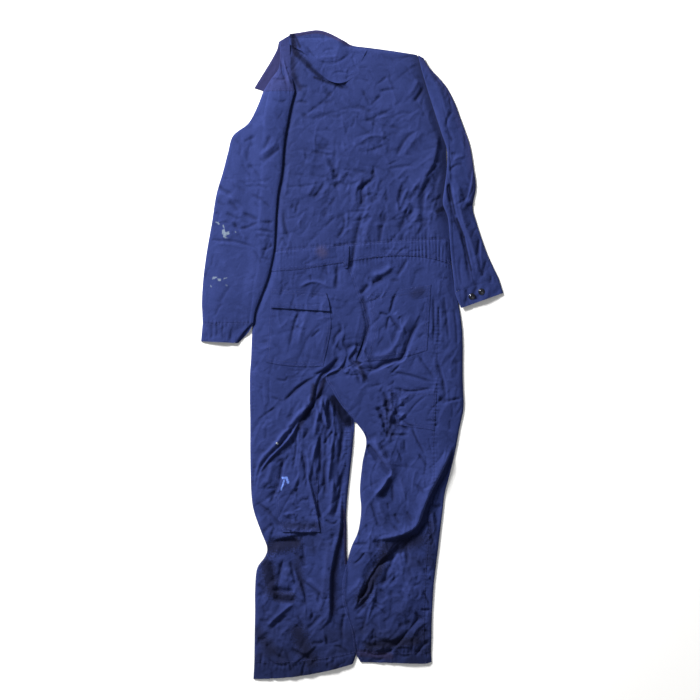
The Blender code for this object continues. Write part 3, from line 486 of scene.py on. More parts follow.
LEFT_SLEEVE_CREASES = (
    (4, -2.2, 0.2, -252, 527, -260, 500, -259, 478),
    (4, -2.4, 0.2, -273, 477, -262, 460, -249, 444),
    (4, -3.0, 0.2, -254, 478, -240, 460, -225, 439),
    (7, -3.4, 0.3, -199, 548, -208, 530, -220, 508),
    (8, -3.6, 0.3, -174, 518, -196, 500, -222, 481),
    (9, 2.6, 0.0, -184, 532, -204, 514, -232, 494),
    (4, -2.2, 0.0, -228, 491, -214, 478),
    (4, -2.2, 0.0, -191, 471, -177, 454),
    (5, -2.2, 0.0, -238, 546, -254, 538, -270, 532),
    (3, -1.4, 0.0, -318, 441, -288, 440),
    (9, 3.6, 0.4, -336, 410, -316, 400, -298, 390, -286, 378),
    (6, -3.4, 0.2, -334, 428, -318, 412, -296, 402),
    (8, -3.4, 0.3, -306, 384, -290, 372, -282, 356),
    (4, -2.0, 0.0, -270, 432, -258, 420, -244, 424),
    (4, -2.4, 0.0, -236, 426, -222, 420, -206, 412),
    (4, -2.8, 0.2, -246, 403, -222, 386, -200, 367),
    (4, -2.0, 0.0, -243, 382, -228, 366),
    (6, -4.0, 0.3, -313, 356, -296, 346, -278, 338),
    (5, -2.4, 0.0, -340, 356, -326, 350),
    (7, -4.4, 0.3, -271, 354, -250, 346, -230, 335),
    (5, -3.4, 0.2, -296, 334, -282, 316, -262, 318, -244, 326, -228, 336),
    (5, -3.4, 0.2, -294, 334, -280, 306, -270, 282),
    (8, 3.0, 0.0, -286, 322, -274, 300, -258, 290),
    (5, -3.0, 0.2, -228, 333, -212, 330, -192, 331),
    (5, -3.0, 0.2, -246, 311, -218, 310, -188, 304),
    (4, -2.2, 0.0, -238, 297, -212, 296, -192, 290),
    (4, -2.4, 0.0, -226, 262, -210, 264, -194, 276),
    (4, -2.4, 0.0, -228, 242, -214, 240, -202, 234),
    (5, -2.8, 0.2, -244, 262, -232, 246, -221, 224),
    (5, -2.6, 0.0, -206, 282, -214, 262, -222, 240),
    (3, -3.0, 0.0, -357, 289, -330, 286, -300, 285, -265, 277, -234, 266),
    (5, 1.8, 0.2, -340, 278, -300, 276, -262, 266),
    (4, -1.8, 0.0, -322, 130, -334, 112, -340, 96),
    (5, -2.0, 0.0, -300, 176, -318, 150, -330, 128),
    (14, 2.0, 0.0, -330, 240, -300, 210, -280, 170),
    (7, -3.0, 0.2, -350, 84, -347, 58, -350, 38),
    (7, -3.0, 0.2, -338, 82, -334, 60, -338, 42),
    (5, -2.4, 0.0, -318, 76, -322, 56, -316, 36),
    (5, -2.4, 0.0, -296, 72, -300, 52, -302, 34),
    (6, -2.4, 0.2, -196, 640, -176, 630, -160, 636),
    (6, 2.0, 0.0, -222, 600, -214, 570, -196, 560),
    (5, -2.0, 0.0, -290, 540, -276, 520, -280, 496),
    (4, -1.8, 0.0, -344, 252, -350, 220),
    (4, -1.6, 0.0, -262, 210, -240, 186),
)

RIGHT_SLEEVE_CREASES = (
    (5, -5.0, 0.1, 240, 452, 246, 420, 252, 386, 256, 366, 264, 334, 278, 294, 288, 250, 295, 205, 300,
     172),
    (7, -9.0, 0.0, 243, 428, 246, 400, 252, 376),
    (9, 3.4, -0.4, 262, 424, 268, 380, 278, 336, 298, 280, 312, 226, 318, 190),
    (6, -4.0, 0.0, 300, 184, 312, 172, 306, 150, 322, 134),
    (5, -2.8, 0.2, 234, 504, 228, 486, 222, 468),
    (4, -2.2, 0.0, 249, 504, 262, 500),
    (5, -2.8, 0.2, 246, 464, 262, 474, 278, 477),
    (7, 2.4, 0.0, 252, 484, 268, 494, 284, 496),
    (5, -2.4, 0.0, 260, 372, 276, 384, 292, 397),
    (8, 2.6, 0.0, 274, 362, 290, 378, 304, 390),
    (5, -2.8, 0.0, 303, 372, 294, 376, 286, 370),
    (4, -2.4, 0.0, 250, 334, 264, 326, 274, 312),
    (5, -2.4, 0.0, 232, 560, 246, 548, 254, 528),
    (5, -2.0, 0.0, 254, 610, 240, 590, 236, 566),
    (9, 2.6, 0.0, 206, 690, 222, 650, 236, 600),
    (5, -2.2, 0.0, 206, 708, 214, 688, 228, 668),
    (5, -2.2, 0.0, 278, 560, 288, 536, 294, 512),
    (5, -2.4, 0.0, 320, 300, 316, 268, 310, 240),
    (5, -2.2, 0.0, 338, 240, 330, 214, 326, 190),
    (4, -2.2, 0.0, 322, 214, 330, 196),
    (5, -2.0, 0.0, 272, 250, 270, 210, 276, 170),
    (5, -2.2, 0.0, 350, 200, 346, 176),
    (5, -2.6, 0.0, 286, 170, 288, 148, 284, 126),
)

COLLAR_CREASES = (
    (3, -1.6, 0.0, -72, 756, -56, 762, -40, 761),
    (4, -2.0, 0.2, -88, 735, -60, 728, -32, 732, -8, 749),
    (4, 1.6, 0.0, -80, 742, -54, 742, -30, 746),
    (4, -1.6, 0.0, -112, 770, -98, 752, -86, 740),
    (3, -1.4, 0.0, -50, 700, -30, 706, -8, 702),
    (5, -2.4, 0.0, -14, 684, -6, 690, 2, 688),
    (4, -2.0, 0.2, -183, 752, -172, 712, -155, 651),
    (4, 2.0, 0.2, -172, 746, -162, 708, -150, 668),
    (4, -1.8, 0.0, -200, 690, -176, 686, -160, 690),
)

# Scattered short creases: how many, then the box they lie in (x, y, x, y), the way they run in
# degrees and how much that varies, their longest length, half width and height.
STROKES = {
    "torso": (
        (150, -210, 300, 220, 720, 20, 50, 46, 3.0, 1.5),
        (50, -120, 440, 130, 720, -35, 25, 60, 4.5, 1.8),
        (60, -210, 300, 220, 450, 70, 25, 50, 3.5, 1.8),
        (46, 120, 300, 235, 440, 80, 18, 60, 4.0, 2.0),
        (40, -60, 300, 90, 450, 60, 40, 44, 3.5, 2.0),
    ),
    "left_leg": (
        (70, -240, -60, 0, 200, 75, 40, 50, 3.0, 1.2),
        (90, -150, -360, -10, -110, 84, 12, 70, 3.2, 2.2),
        (46, -240, -360, -130, -140, 60, 25, 60, 3.2, 1.5),
        (60, -220, -620, -20, -380, 70, 40, 50, 3.5, 1.8),
        (90, -240, -800, -10, -600, 45, 60, 46, 3.4, 1.9),
        (50, -200, -440, -80, -330, 60, 60, 34, 3.0, 2.0),
    ),
    "right_leg": (
        (60, 40, -60, 270, 210, 80, 35, 50, 3.0, 1.3),
        (60, 60, -220, 130, -70, 70, 50, 36, 3.0, 2.3),
        (60, 30, -450, 230, -200, 100, 25, 60, 3.2, 1.5),
        (80, 10, -560, 210, -430, 95, 35, 50, 3.4, 2.2),
        (60, 0, -760, 110, -550, 50, 40, 46, 3.4, 2.2),
        (50, 110, -760, 200, -560, 60, 50, 40, 3.2, 1.6),
        (40, 206, -460, 276, 180, 85, 14, 60, 3.0, 1.6),
    ),
    "sleeve_left": (
        (60, -300, 300, -170, 640, 120, 40, 46, 3.0, 1.7),
        (40, -350, 270, -200, 440, 155, 35, 44, 3.0, 1.8),
        (40, -370, 90, -230, 280, 100, 50, 40, 3.0, 1.2),
        (16, -370, 34, -270, 80, 95, 20, 30, 2.6, 1.4),
    ),
    "sleeve_right": (
        (60, 180, 380, 310, 720, 110, 30, 50, 3.0, 1.7),
        (50, 230, 120, 370, 420, 100, 30, 50, 3.0, 1.7),
    ),
    "collar": (
        (50, -230, 660, 10, 800, 10, 70, 26, 2.4, 0.9),
    ),
}

CREASE_NARROWING = 0.68
CREASE_GAIN = 1.15
TORSO_GAIN = 0.72
OWN_GAIN = {"sleeve_left": 0.62, "sleeve_right": 0.80, "collar": 1.0}

# Folds that lie over: height, reach of the high side, reach of the low side, points. The high
# side is on the left, going from the first point to the last.
SEAT_FOLDS = (
    (4.0, 14, 10, -87, -74, -63, -50, -29, -30, -18, -2, -39, 19, -32, 46),
    (3.6, 22, 12, -132, -176, -116, -140, -97, -112, -93, -86, -86, -62, -70, -38, -32, -14),
    (1.4, 12, 10, -150, -84, -110, -62, -72, -36),
    (3.4, 9, 7, 37, -71, 27, -43, 6, -30, -8, -9, 9, 19, 6, 46),
    (1.5, 7, 6, 30, -40, 52, -34, 104, -22, 132, 10, 144, 36),
    (2.4, 8, 6, -20, -22, -14, 4, -24, 30, -18, 60),
    (3.4, 10, 6, 12, 6, 8, -12, 30, -20, 14, -32, 24, -44, 36, -56, 38, -74),
    (2.8, 9, 6, 146, 40, 134, -12, 104, -20, 84, -32, 52, -38, 20, -26),
    (2.4, 7, 5, 50, -28, 42, -16, 32, 4, 34, 26),
    (2.6, 8, 5, -24, -34, -12, -44, -6, -32, 6, -46, 16, -62),
)
FOLDS = {
    "torso": (),
    "left_leg": (
        (5.0, 26, 14, -239, -326, -229, -292, -201, -254, -153, -205, -122, -147, -84, -99, -63, -54),
        (5.0, 10, 20, -60, -190, -66, -150, -78, -105),
        (3.5, 14, 10, -80, -436, -90, -380, -104, -320, -115, -271),
        (3.5, 14, 10, -166, -430, -130, -440, -80, -438),
        (5.0, 22, 14, -95, -700, -67, -670, -55, -650, -54, -595, -52, -545, -42, -490, -30, -445, -26,
         -380, -24, -330),
        (2.6, 12, 10, -200, -466, -160, -452, -118, -444),
        (2.4, 12, 10, -114, -668, -120, -600, -150, -520),
        (2.2, 8, 8, -212, -678, -180, -646, -146, -618),
        (2.6, 10, 9, -150, -770, -110, -742, -84, -716),
        (2.5, 12, 10, -60, -330, -52, -260, -44, -200, -40, -160),
        (2.5, 10, 8, -110, -330, -96, -260, -84, -210, -74, -180),
    ),
    "right_leg": (
        (4.5, 24, 14, 40, -216, 68, -247, 99, -295),
        (4.0, 14, 16, 61, -354, 78, -326, 99, -295),
        (6.5, 30, 22, 68, -461, 116, -450, 158, -430, 178, -395, 185, -368, 206, -326, 227, -285, 258,
         -216),
        (6.0, 22, 22, 0, -645, 11, -620, 31, -580, 51, -540, 81, -505, 131, -455),
        (2.2, 8, 8, 8, -632, 20, -590, 34, -556),
        (2.2, 8, 8, 38, -664, 50, -626, 62, -590),
        (5.0, 24, 16, 41, -706, 81, -711, 121, -701, 156, -665, 171, -645),
        (2.6, 8, 8, 46, -728, 84, -736, 120, -726, 160, -730),
        (2.2, 8, 8, 24, -716, 52, -724, 66, -742),
        (2.4, 10, 10, 150, -700, 172, -676, 196, -662),
        (2.2, 10, 8, 84, -205, 86, -160, 80, -110),
        (2.0, 8, 8, 108, -190, 104, -150, 112, -112),
    ),
    "sleeve_left": (),
    "sleeve_right": (
        (5.6, 16, 8, 240, 440, 244, 422, 251, 384, 262, 342, 272, 318, 282, 294, 292, 250, 299, 205,
         304, 172),
        (2.4, 10, 7, 306, 470, 300, 430, 292, 396, 280, 372),
        (2.0, 10, 7, 330, 306, 322, 262, 326, 214),
    ),
    "collar": (),
}

CLOTH = 0.8             # thickness of the visible cloth
BACK_TOP = 2 * CLOTH + GAP      # upper face of the back where it meets the front
PLAN_STEP = 1.5         # spacing of the relief maps
PLAN_X = np.arange(-400.0, 400.1, PLAN_STEP)
PLAN_Y = np.arange(-830.0, 830.1, PLAN_STEP)
SLEEVE_PRESS = 0.5      # share of the body's loft that the sleeve over it presses out
VALLEY = 1.0            # dip of the body along a sleeve's inner edge
VALLEY_WIDTH = 18.0
PRESS_WIDTH = 20.0      # the body comes back up over this distance beside the sleeve
SPREAD = 8.0
RAMP = 30.0
TUBE_OPEN = 1.8         # height of a flattened tube at its folds
TUBE_PUFF = 6.8         # and what its middle adds
EASE = 1.03             # length taken up by creases
GRIDS = {}              # finished grids by piece name, for the stitches and studs that lie on them


def smooth(values):
    """A step that leaves 0 and reaches 1 with no slope: 3t2 - 2t3."""
    t = np.clip(values, 0.0, 1.0)
    return t * t * (3.0 - 2.0 * t)


def along(table, places):
    """Rows of a table at fractional places, on the Catmull-Rom curve through its rows."""
    rows = np.array(table, dtype=float)
    ends = np.vstack([2 * rows[0] - rows[1], rows, 2 * rows[-1] - rows[-2]])
    k = np.clip(np.floor(places).astype(int), 0, len(rows) - 2)
    t = (np.asarray(places) - k)[:, None]
    before, here, after, beyond = ends[k], ends[k + 1], ends[k + 2], ends[k + 3]
    bend = (2 * before - 5 * here + 4 * after - beyond) * t * t
    turn = (3 * here - before - 3 * after + beyond) * t ** 3
    return here + 0.5 * ((after - before) * t + bend + turn)


def places_along(table, step, far=2):
    """Places on a table of sections that lie the same distance apart on its middle line."""
    dense = np.linspace(0.0, len(table) - 1.0, 40 * len(table))
    rows = along(table, dense)
    middle = 0.5 * (rows[:, 0:2] + rows[:, far:far + 2])
    run = np.concatenate([[0.0], np.cumsum(np.hypot(*np.diff(middle, axis=0).T))])
    count = max(2, int(np.ceil(run[-1] / step)))
    return np.interp(np.linspace(0.0, run[-1], count + 1), run, dense)


def even_line(points, step):
    """Points the same distance apart on the smooth curve through a line's points."""
    places = np.linspace(0.0, len(points) - 1.0, 12 * len(points))
    line = along(points, places)
    run = np.concatenate([[0.0], np.cumsum(np.hypot(*np.diff(line[:, :2], axis=0).T))])
    count = max(2, int(np.ceil(run[-1] / step)))
    even = np.linspace(0.0, run[-1], count + 1)
    return np.stack([np.interp(even, run, line[:, k]) for k in range(line.shape[1])], axis=1)


def edge_curve(table, column):
    """One edge of a table of sections as points sorted by y, ready for edge_at."""
    places = np.linspace(0.0, len(table) - 1.0, 8 * len(table))
    rows = along(table, places)[:, column:column + 2]
    return rows[np.argsort(rows[:, 1])]


def edge_at(y, curve):
    """x of an edge at height y."""
    return np.interp(y, curve[:, 1], curve[:, 0])


BODY_LEFT = np.vstack([edge_curve(LEFT_LEG, 0), edge_curve(BODICE, 0)])
BODY_RIGHT = np.vstack([edge_curve(RIGHT_LEG, 4), edge_curve(BODICE, 2)])
LEFT_INNER = np.vstack([edge_curve(LEFT_LEG[8:], 2), [(620.0, 240.0)]])
RIGHT_INNER = np.vstack([edge_curve(RIGHT_LEG[10:], 0), [(-600.0, 220.0)]])
RIGHT_EDGE = edge_curve(RIGHT_LEG[4:], 0)
LEFT_SLEEVE_INNER = edge_curve(LEFT_SLEEVE + LEFT_CUFF[1:], 2)
RIGHT_SLEEVE_INNER = edge_curve(RIGHT_SLEEVE + RIGHT_CUFF[1:], 2)
WAIST_CURVE = np.polyfit(*zip(*WAIST_SEAM), 3)


def waist_seam(x):
    """y of the waistband's lower seam: the cubic through its four points."""
    return np.polyval(WAIST_CURVE, x)


def sections(table, places, shares, near=0, far=2, bow=None):
    """Grid of plan points on each section: x and y run straight from one end to the other, and
    y is raised by bow times the parabola 4u(1 - u)."""
    rows = along(table, places)
    u = np.asarray(shares)[None, :]
    x = rows[:, near:near + 1] * (1 - u) + rows[:, far:far + 1] * u
    y = rows[:, near + 1:near + 2] * (1 - u) + rows[:, far + 1:far + 2] * u
    if bow is not None:
        y = y + rows[:, bow:bow + 1] * 4 * u * (1 - u)
    return x, y


def near_line(points, reach):
    """The window of the plan within reach of a smooth line, and for each place in it the signed
    distance from the line (positive on its left), the run along it, and the line's length."""
    line = even_line(np.reshape(points, (-1, 2)).astype(float), 5.0)
    low = line.min(axis=0) - reach
    high = line.max(axis=0) + reach
    columns = slice(*np.searchsorted(PLAN_X, (low[0], high[0])))
    rows = slice(*np.searchsorted(PLAN_Y, (low[1], high[1])))
    x = PLAN_X[columns][None, :]
    y = PLAN_Y[rows][:, None]
    best = np.full((y.shape[0], x.shape[1]), 1e12)
    run = np.zeros_like(best)
    side = np.zeros_like(best)
    start = 0.0
    for (ax, ay), (bx, by) in zip(line, line[1:]):
        length = np.hypot(bx - ax, by - ay)
        tx, ty = (bx - ax) / length, (by - ay) / length
        dx, dy = x - ax, y - ay
        t = np.clip(dx * tx + dy * ty, 0.0, length)
        gap = (dx - t * tx) ** 2 + (dy - t * ty) ** 2
        closer = gap < best
        best = np.where(closer, gap, best)
        run = np.where(closer, start + t, run)
        side = np.where(closer, tx * dy - ty * dx, side)
        start += length
    return (rows, columns), np.copysign(np.sqrt(best), side), run, start


def add_crease(relief, width, height, lean, points):
    """Adds height * exp(-|d / w|^1.5) across a line, where w is narrower on the side it leans to,
    fading out at both of its ends."""
    window, distance, run, total = near_line(points, 3.2 * width * (1 + abs(lean)))
    across = distance / (width * np.where(distance > 0, 1 - lean, 1 + lean))
    fade = smooth(run / (0.24 * total)) * smooth((total - run) / (0.24 * total))
    relief[window] += height * fade ** 0.7 * np.exp(-np.abs(across) ** 1.5)


def add_creases(relief, table, strength):
    """Adds every crease of a table, its heights times the strength."""
    for width, height, lean, *points in table:
        add_crease(relief, width * CREASE_NARROWING, height * strength * CREASE_GAIN, lean, points)


def add_fold(relief, height, high, low, points):
    """Adds a fold whose left side stands high and whose right side drops: at a distance d it is
    height * exp(-d / high) on the left, and on the right
    height * (1.5 exp(-(d / 2.4)2) - 0.5 exp(-d / low))."""
    window, distance, run, total = near_line(points, 3.0 * max(high, low))
    away = np.abs(distance)
    drop = 1.5 * np.exp(-(away / 2.4) ** 2) - 0.5 * np.exp(-away / low)
    profile = np.where(distance > 0, np.exp(-away / high), drop)
    fade = smooth(run / (0.22 * total)) * smooth((total - run) / (0.22 * total))
    edge = smooth(3.0 - away / max(high, low))
    relief[window] += height * fade * edge * profile


def add_strokes(relief, areas, seed, strength):
    """Scatters short bent creases over boxes of the plan, two troughs to each ridge."""
    draw = np.random.default_rng(seed)
    for count, x0, y0, x1, y1, angle, spread, length, width, height in areas:
        for _ in range(count):
            x, y = draw.uniform(x0, x1), draw.uniform(y0, y1)
            turn = np.radians(draw.normal(angle, spread))
            half = 0.5 * length * draw.uniform(0.35, 1.0)
            bend = draw.uniform(-0.25, 0.25) * half
            dx, dy = np.cos(turn), np.sin(turn)
            ends = (x - half * dx, y - half * dy), (x + half * dx, y + half * dy)
            points = (*ends[0], x - bend * dy, y + bend * dx, *ends[1])
            size = height * draw.uniform(0.4, 1.2) * strength
            sign = 1.0 if draw.uniform() < 0.35 else -1.0
            lean = draw.uniform(-0.4, 0.4)
            add_crease(relief, width * draw.uniform(0.8, 1.3), sign * size, lean, points)


def noise(x, y, size, seed):
    """Gradient noise: a random slope at each corner of a square lattice, blended across it."""
    turn = np.random.default_rng(seed).uniform(0.0, 2 * np.pi, (64, 64))
    u, v = x / size, y / size
    i, j = np.floor(u).astype(int), np.floor(v).astype(int)
    a, b = u - i, v - j
    s, t = smooth(a), smooth(b)

    def corner(p, q):
        slope = turn[(i + p) % 64, (j + q) % 64]
        return np.cos(slope) * (a - p) + np.sin(slope) * (b - q)

    low = corner(0, 0) * (1 - s) + corner(1, 0) * s
    high = corner(0, 1) * (1 - s) + corner(1, 1) * s
    return low * (1 - t) + high * t


def crumple(x, y, size, stretch, angle, seed):
    """Broken sharp creases: exp(-|n| / 0.05) where stretched, bent noise n crosses nought,
    shown only where a second, slower noise is high."""
    c, s = np.cos(np.radians(angle)), np.sin(np.radians(angle))
    run = (x * c + y * s) / stretch
    across = y * c - x * s + 0.7 * size * noise(x, y, 1.9 * size, seed + 1)
    line = np.exp(-np.abs(noise(run, across, size, seed)) / 0.05)
    shown = smooth((noise(x, y, 1.6 * size, seed + 2) + 0.05) / 0.22)
    return line * shown


def ground_relief(seed, strength):
    """What every cloth map starts from: slow waves, and creases at three sizes."""
    x, y = np.meshgrid(PLAN_X, PLAN_Y)
    relief = 3.4 * noise(x, y, 110.0, seed) + 0.8 * noise(x, y, 44.0, seed + 10)
    relief -= 1.5 * crumple(x, y, 52.0, 2.8, 50.0, seed + 30)
    relief -= 1.2 * crumple(x, y, 40.0, 2.6, -25.0, seed + 40)
    relief += 1.3 * crumple(x, y, 44.0, 2.8, 75.0, seed + 50)
    relief -= 0.8 * crumple(x, y, 24.0, 2.4, 15.0, seed + 60)
    relief += 0.7 * crumple(x, y, 22.0, 2.4, 105.0, seed + 70)
    return strength * relief


def gathers(relief):
    """Elastic gathers: ribs across the waistband, stronger towards the right side, that run out
    into the cloth above and below it."""
    x, y = np.meshgrid(PLAN_X, PLAN_Y)
    middle = waist_seam(x) + 24.0
    reach = np.abs(y - middle)
    share = 0.12 + 0.88 * smooth((x - 120.0) / 60.0) + 0.10 * smooth((-140.0 - x) / 40.0)
    band = smooth((46.0 - reach) / 26.0)
    pitch = 8.6 + 1.6 * noise(x, y * 0.3, 60.0, 301)
    phase = 2 * np.pi * (x + 3.0 * noise(x, y * 0.5, 26.0, 302)) / pitch.mean()
    broken = smooth((noise(x, y * 0.45, 15.0, 303) + 0.35) / 0.5)
    relief += 1.25 * share * band * broken * np.sin(phase)


def add_pucker(relief, points, pitch, height, reach, seed):
    """Ripples square to a seam: height * sin(2 pi run / pitch) * exp(-|d| / reach), uneven."""
    window, distance, run, total = near_line(points, 4 * reach)
    uneven = noise(run, distance * 0.2, 2.4 * pitch, seed)
    phase = 2 * np.pi * run / pitch + 5.0 * uneven
    fade = smooth(run / 8.0) * smooth((total - run) / 8.0)
    size = height * (0.45 + 0.9 * smooth(noise(run, distance * 0, 30.0, seed + 1) + 0.5))
    relief[window] += fade * size * np.sin(phase) * np.exp(-np.abs(distance) / reach)


def add_groove(relief, points, width, depth):
    """A stitched line's dent: -depth * exp(-(d / width)2)."""
    window, distance, run, total = near_line(points, 3 * width)
    fade = smooth(run / 4.0) * smooth((total - run) / 4.0)
    relief[window] -= depth * fade * np.exp(-(distance / width) ** 2)


SEAMS = {
    # half width of the dent, depth, pitch, height and reach of its puckers, points
    "torso": (
        (2.2, 0.9, 11.0, 0.7, 9.0, -223, 256, -110, 269, 20, 280, 120, 287, 245, 291),
    ),
    "left_leg": (
        (2.2, 0.9, 9.0, 0.7, 9.0, -228, 206, -150, 219, -60, 226, -14, 229),
        (1.8, 0.8, 8.0, 0.6, 7.0, -13, 226, 8, 180, 30, 108, 36, 62, 22, 20, 8, -14),
        (1.8, 0.8, 6.0, 1.3, 9.0, -8, -178, -11, -240, -18, -300, -22, -352, -24, -430),
        (2.2, 1.0, 10.0, 0.9, 9.0, -241, -768, -167, -777, -94, -764, -40, -756, 10, -744),
        (1.6, 0.5, 9.0, 0.5, 6.0, -246, 40, -246, -60, -246, -200, -244, -330),
    ),
    "right_leg": (
        (2.2, 0.9, 9.0, 0.9, 9.0, -12, 229, 71, 242, 140, 246, 195, 243, 242, 226),
        (1.8, 0.9, 8.0, 0.7, 8.0, 40, 62, 14, -14, -52, -48),
        (2.2, 0.5, 9.0, 0.7, 9.0, 218, 120, 214, 60, 213, -50, 209, -132, 206, -200, 206, -320),
        (2.0, 0.4, 9.0, 0.5, 8.0, 204, -350, 199, -400, 191, -490, 185, -600, 182, -740),
        (2.2, 1.0, 9.0, 0.6, 9.0, 10, -738, 60, -741, 120, -741, 196, -738),
    ),
    "sleeve_left": (
        (2.0, 0.3, 10.0, 0.4, 7.0, -221, 656, -182, 656, -142, 656),
        (2.0, 0.35, 9.0, 0.6, 8.0, -371, 80, -320, 80, -246, 81),
    ),
    "sleeve_right": (
        (2.0, 0.4, 9.0, 0.6, 8.0, 260, 158, 310, 176, 366, 194),
    ),
    "collar": (),
}


@lru_cache(maxsize=None)
def relief_of(area):
    """The relief map of one area of the suit."""
    strength = settings().crease_strength
    if area in ("torso", "left_leg", "right_leg"):
        relief = ground_relief(11, strength)
        add_creases(relief, TORSO_CREASES, TORSO_GAIN * strength)
        add_creases(relief, SEAT_CREASES, strength)
        gathers(relief)
        own = {"torso": (), "left_leg": LEFT_LEG_CREASES, "right_leg": RIGHT_LEG_CREASES}
        add_creases(relief, own[area], strength)
        for height, high, low, *points in SEAT_FOLDS:
            add_fold(relief, height * strength, high, low, points)
    else:
        relief = ground_relief(len(area) * 7, 0.62 * OWN_GAIN[area] * strength)
        own = {"collar": COLLAR_CREASES}
        own.update(sleeve_left=LEFT_SLEEVE_CREASES, sleeve_right=RIGHT_SLEEVE_CREASES)
        add_creases(relief, own[area], OWN_GAIN[area] * strength)
    for height, high, low, *points in FOLDS[area]:
        add_fold(relief, height * strength, high, low, points)
    add_strokes(relief, STROKES[area], 500 + len(area), 0.85 * OWN_GAIN.get(area, 1.0) * strength)
    for width, depth, pitch, height, reach, *points in SEAMS[area]:
        add_pucker(relief, points, pitch, height, reach, int(abs(points[0])))
        add_groove(relief, points, width, depth)
    return relief


def blurred(relief, radius):
    """A running mean over 2 radius + 1 cells, both ways, done twice."""
    for axis in (0, 1, 0, 1):
        pad = [(radius + 1, radius) if k == axis else (0, 0) for k in (0, 1)]
        total = np.cumsum(np.pad(relief, pad, mode="edge"), axis=axis)
        count = 2 * radius + 1
        upper = np.take(total, range(count, total.shape[axis]), axis=axis)
        lower = np.take(total, range(0, total.shape[axis] - count), axis=axis)
        relief = (upper - lower) / count
    return relief


@lru_cache(maxsize=None)
def crest_of(area):
    """How far each place stands over the mean of its surroundings."""
    relief = relief_of(area)
    return relief - blurred(relief, 8)


def sample(grid, x, y):
    """A map's value at plan points, blended between its four nearest cells."""
    u = np.clip((x - PLAN_X[0]) / PLAN_STEP, 0, len(PLAN_X) - 1.001)
    v = np.clip((y - PLAN_Y[0]) / PLAN_STEP, 0, len(PLAN_Y) - 1.001)
    i, j = u.astype(int), v.astype(int)
    a, b = u - i, v - j
    low = grid[j, i] * (1 - a) + grid[j, i + 1] * a
    high = grid[j + 1, i] * (1 - a) + grid[j + 1, i + 1] * a
    return low * (1 - b) + high * b


def rise(distance):
    """Height inside a folded edge, as a share: a quarter round over ROUND, then a slow slope."""
    q = np.clip(distance / ROUND, 0.0, 1.0)
    return QUICK_SHARE * np.sqrt(q * (2 - q)) + (1 - QUICK_SHARE) * smooth(distance / REACH)


def covered(x, y):
    """1 on the body under and just beside a sleeve, 0 away from it."""
    left = smooth((edge_at(y, LEFT_SLEEVE_INNER) + PRESS_WIDTH - x) / PRESS_WIDTH)
    left = left * smooth((y - 40.0) / 30.0) * smooth((700.0 - y) / 30.0)
    right = smooth((x - edge_at(y, RIGHT_SLEEVE_INNER) + PRESS_WIDTH) / PRESS_WIDTH)
    right = right * smooth((y - 100.0) / 30.0)
    return np.maximum(left, right)


def beside_sleeves(x, y):
    """1 along the sleeves' inner edges, dying away over VALLEY_WIDTH on the body's side."""
    left = np.abs(x - edge_at(y, LEFT_SLEEVE_INNER) - 3.0)
    right = np.abs(edge_at(y, RIGHT_SLEEVE_INNER) - 3.0 - x)
    left = np.exp(-left / VALLEY_WIDTH) * smooth((y - 230.0) / 90.0) * smooth((790.0 - y) / 40.0)
    right = np.exp(-right / VALLEY_WIDTH) * smooth((y - 250.0) / 60.0) * smooth((700.0 - y) / 60.0)
    return np.maximum(left, right)


def body_inside(x, y, area):
    """Distances from the two edges of the torso, or of one leg."""
    left = x - edge_at(y, BODY_LEFT)
    right = edge_at(y, BODY_RIGHT) - x
    if area == "left_leg":
        right = edge_at(y, LEFT_INNER) - x
    if area == "right_leg":
        left = x - edge_at(y, RIGHT_INNER)
    return left, right


def body_top(x, y, area):
    """Upper face of the back: rise from both edges times the loft, less what a sleeve presses
    out, plus the relief, which dies out at the edges and under the sleeves."""
    left, right = body_inside(x, y, area)
    share = rise(left) * rise(right)
    neck = np.interp(x, (BODICE[-1][0], BODICE[-1][2]), (BODICE[-1][1], BODICE[-1][3]))
    share = share * rise(neck + 1.5 - y)
    hem_y = LEFT_LEG[-1][1] if area == "left_leg" else RIGHT_LEG[-1][1]
    share = share * (HEM_LOFT + (1 - HEM_LOFT) * smooth((y - hem_y) / REACH))
    cover = covered(x, y)
    level = BACK_TOP + LOFT * share * (1 - SLEEVE_PRESS * cover) - VALLEY * beside_sleeves(x, y)
    inside = np.minimum(np.minimum(left, right), neck + 2.0 - y)
    fade = smooth(inside / 11.0) * (1 - 0.92 * cover)
    return np.maximum(level + fade * sample(relief_of(area), x, y), BACK_TOP)


def torso_top(x, y):
    """The back above the waist seam."""
    return body_top(x, y, "torso")


def left_top(x, y):
    """The left leg's back: it dips where the right seat lies over it."""
    dip = 4.2 * smooth((x + 75.0) / 40.0) * smooth((60.0 - y) / 60.0) * smooth((y + 215.0) / 50.0)
    return np.maximum(body_top(x, y, "left_leg") - dip, BACK_TOP)


def right_top(x, y):
    """The right leg's back: where it lies over the left leg it clears it by a layer, and turns
    up from its own edge as a fold."""
    own = body_top(x, y, "right_leg")
    seat = smooth((55.0 - y) / 60.0) * smooth((y + 230.0) / 40.0) * smooth((62.0 - x) / 50.0)
    low = smooth((-440.0 - y) / 50.0) * smooth((edge_at(y, RIGHT_EDGE) + 52.0 - x) / 24.0)
    inside = x - edge_at(y, RIGHT_EDGE)
    over = left_top(x, y) + CLOTH + 0.5 + 4.0 * rise(inside)
    beside = smooth((edge_at(y, LEFT_INNER) + 14.0 - x) / 14.0)
    need = np.maximum(over - own, 0.0)
    return own + need * np.maximum(seat, low * beside)


def sleeve_rest(x, y):
    """What a sleeve lies on: the pressed body, then a slope down to the surface beside it."""
    left, right = body_inside(x, y, "torso")
    inside = np.minimum(left, right)
    top = BACK_TOP + LOFT * (1 - SLEEVE_PRESS) * rise(inside + SPREAD) + 1.2
    return top * smooth((inside + SPREAD + RAMP) / RAMP)


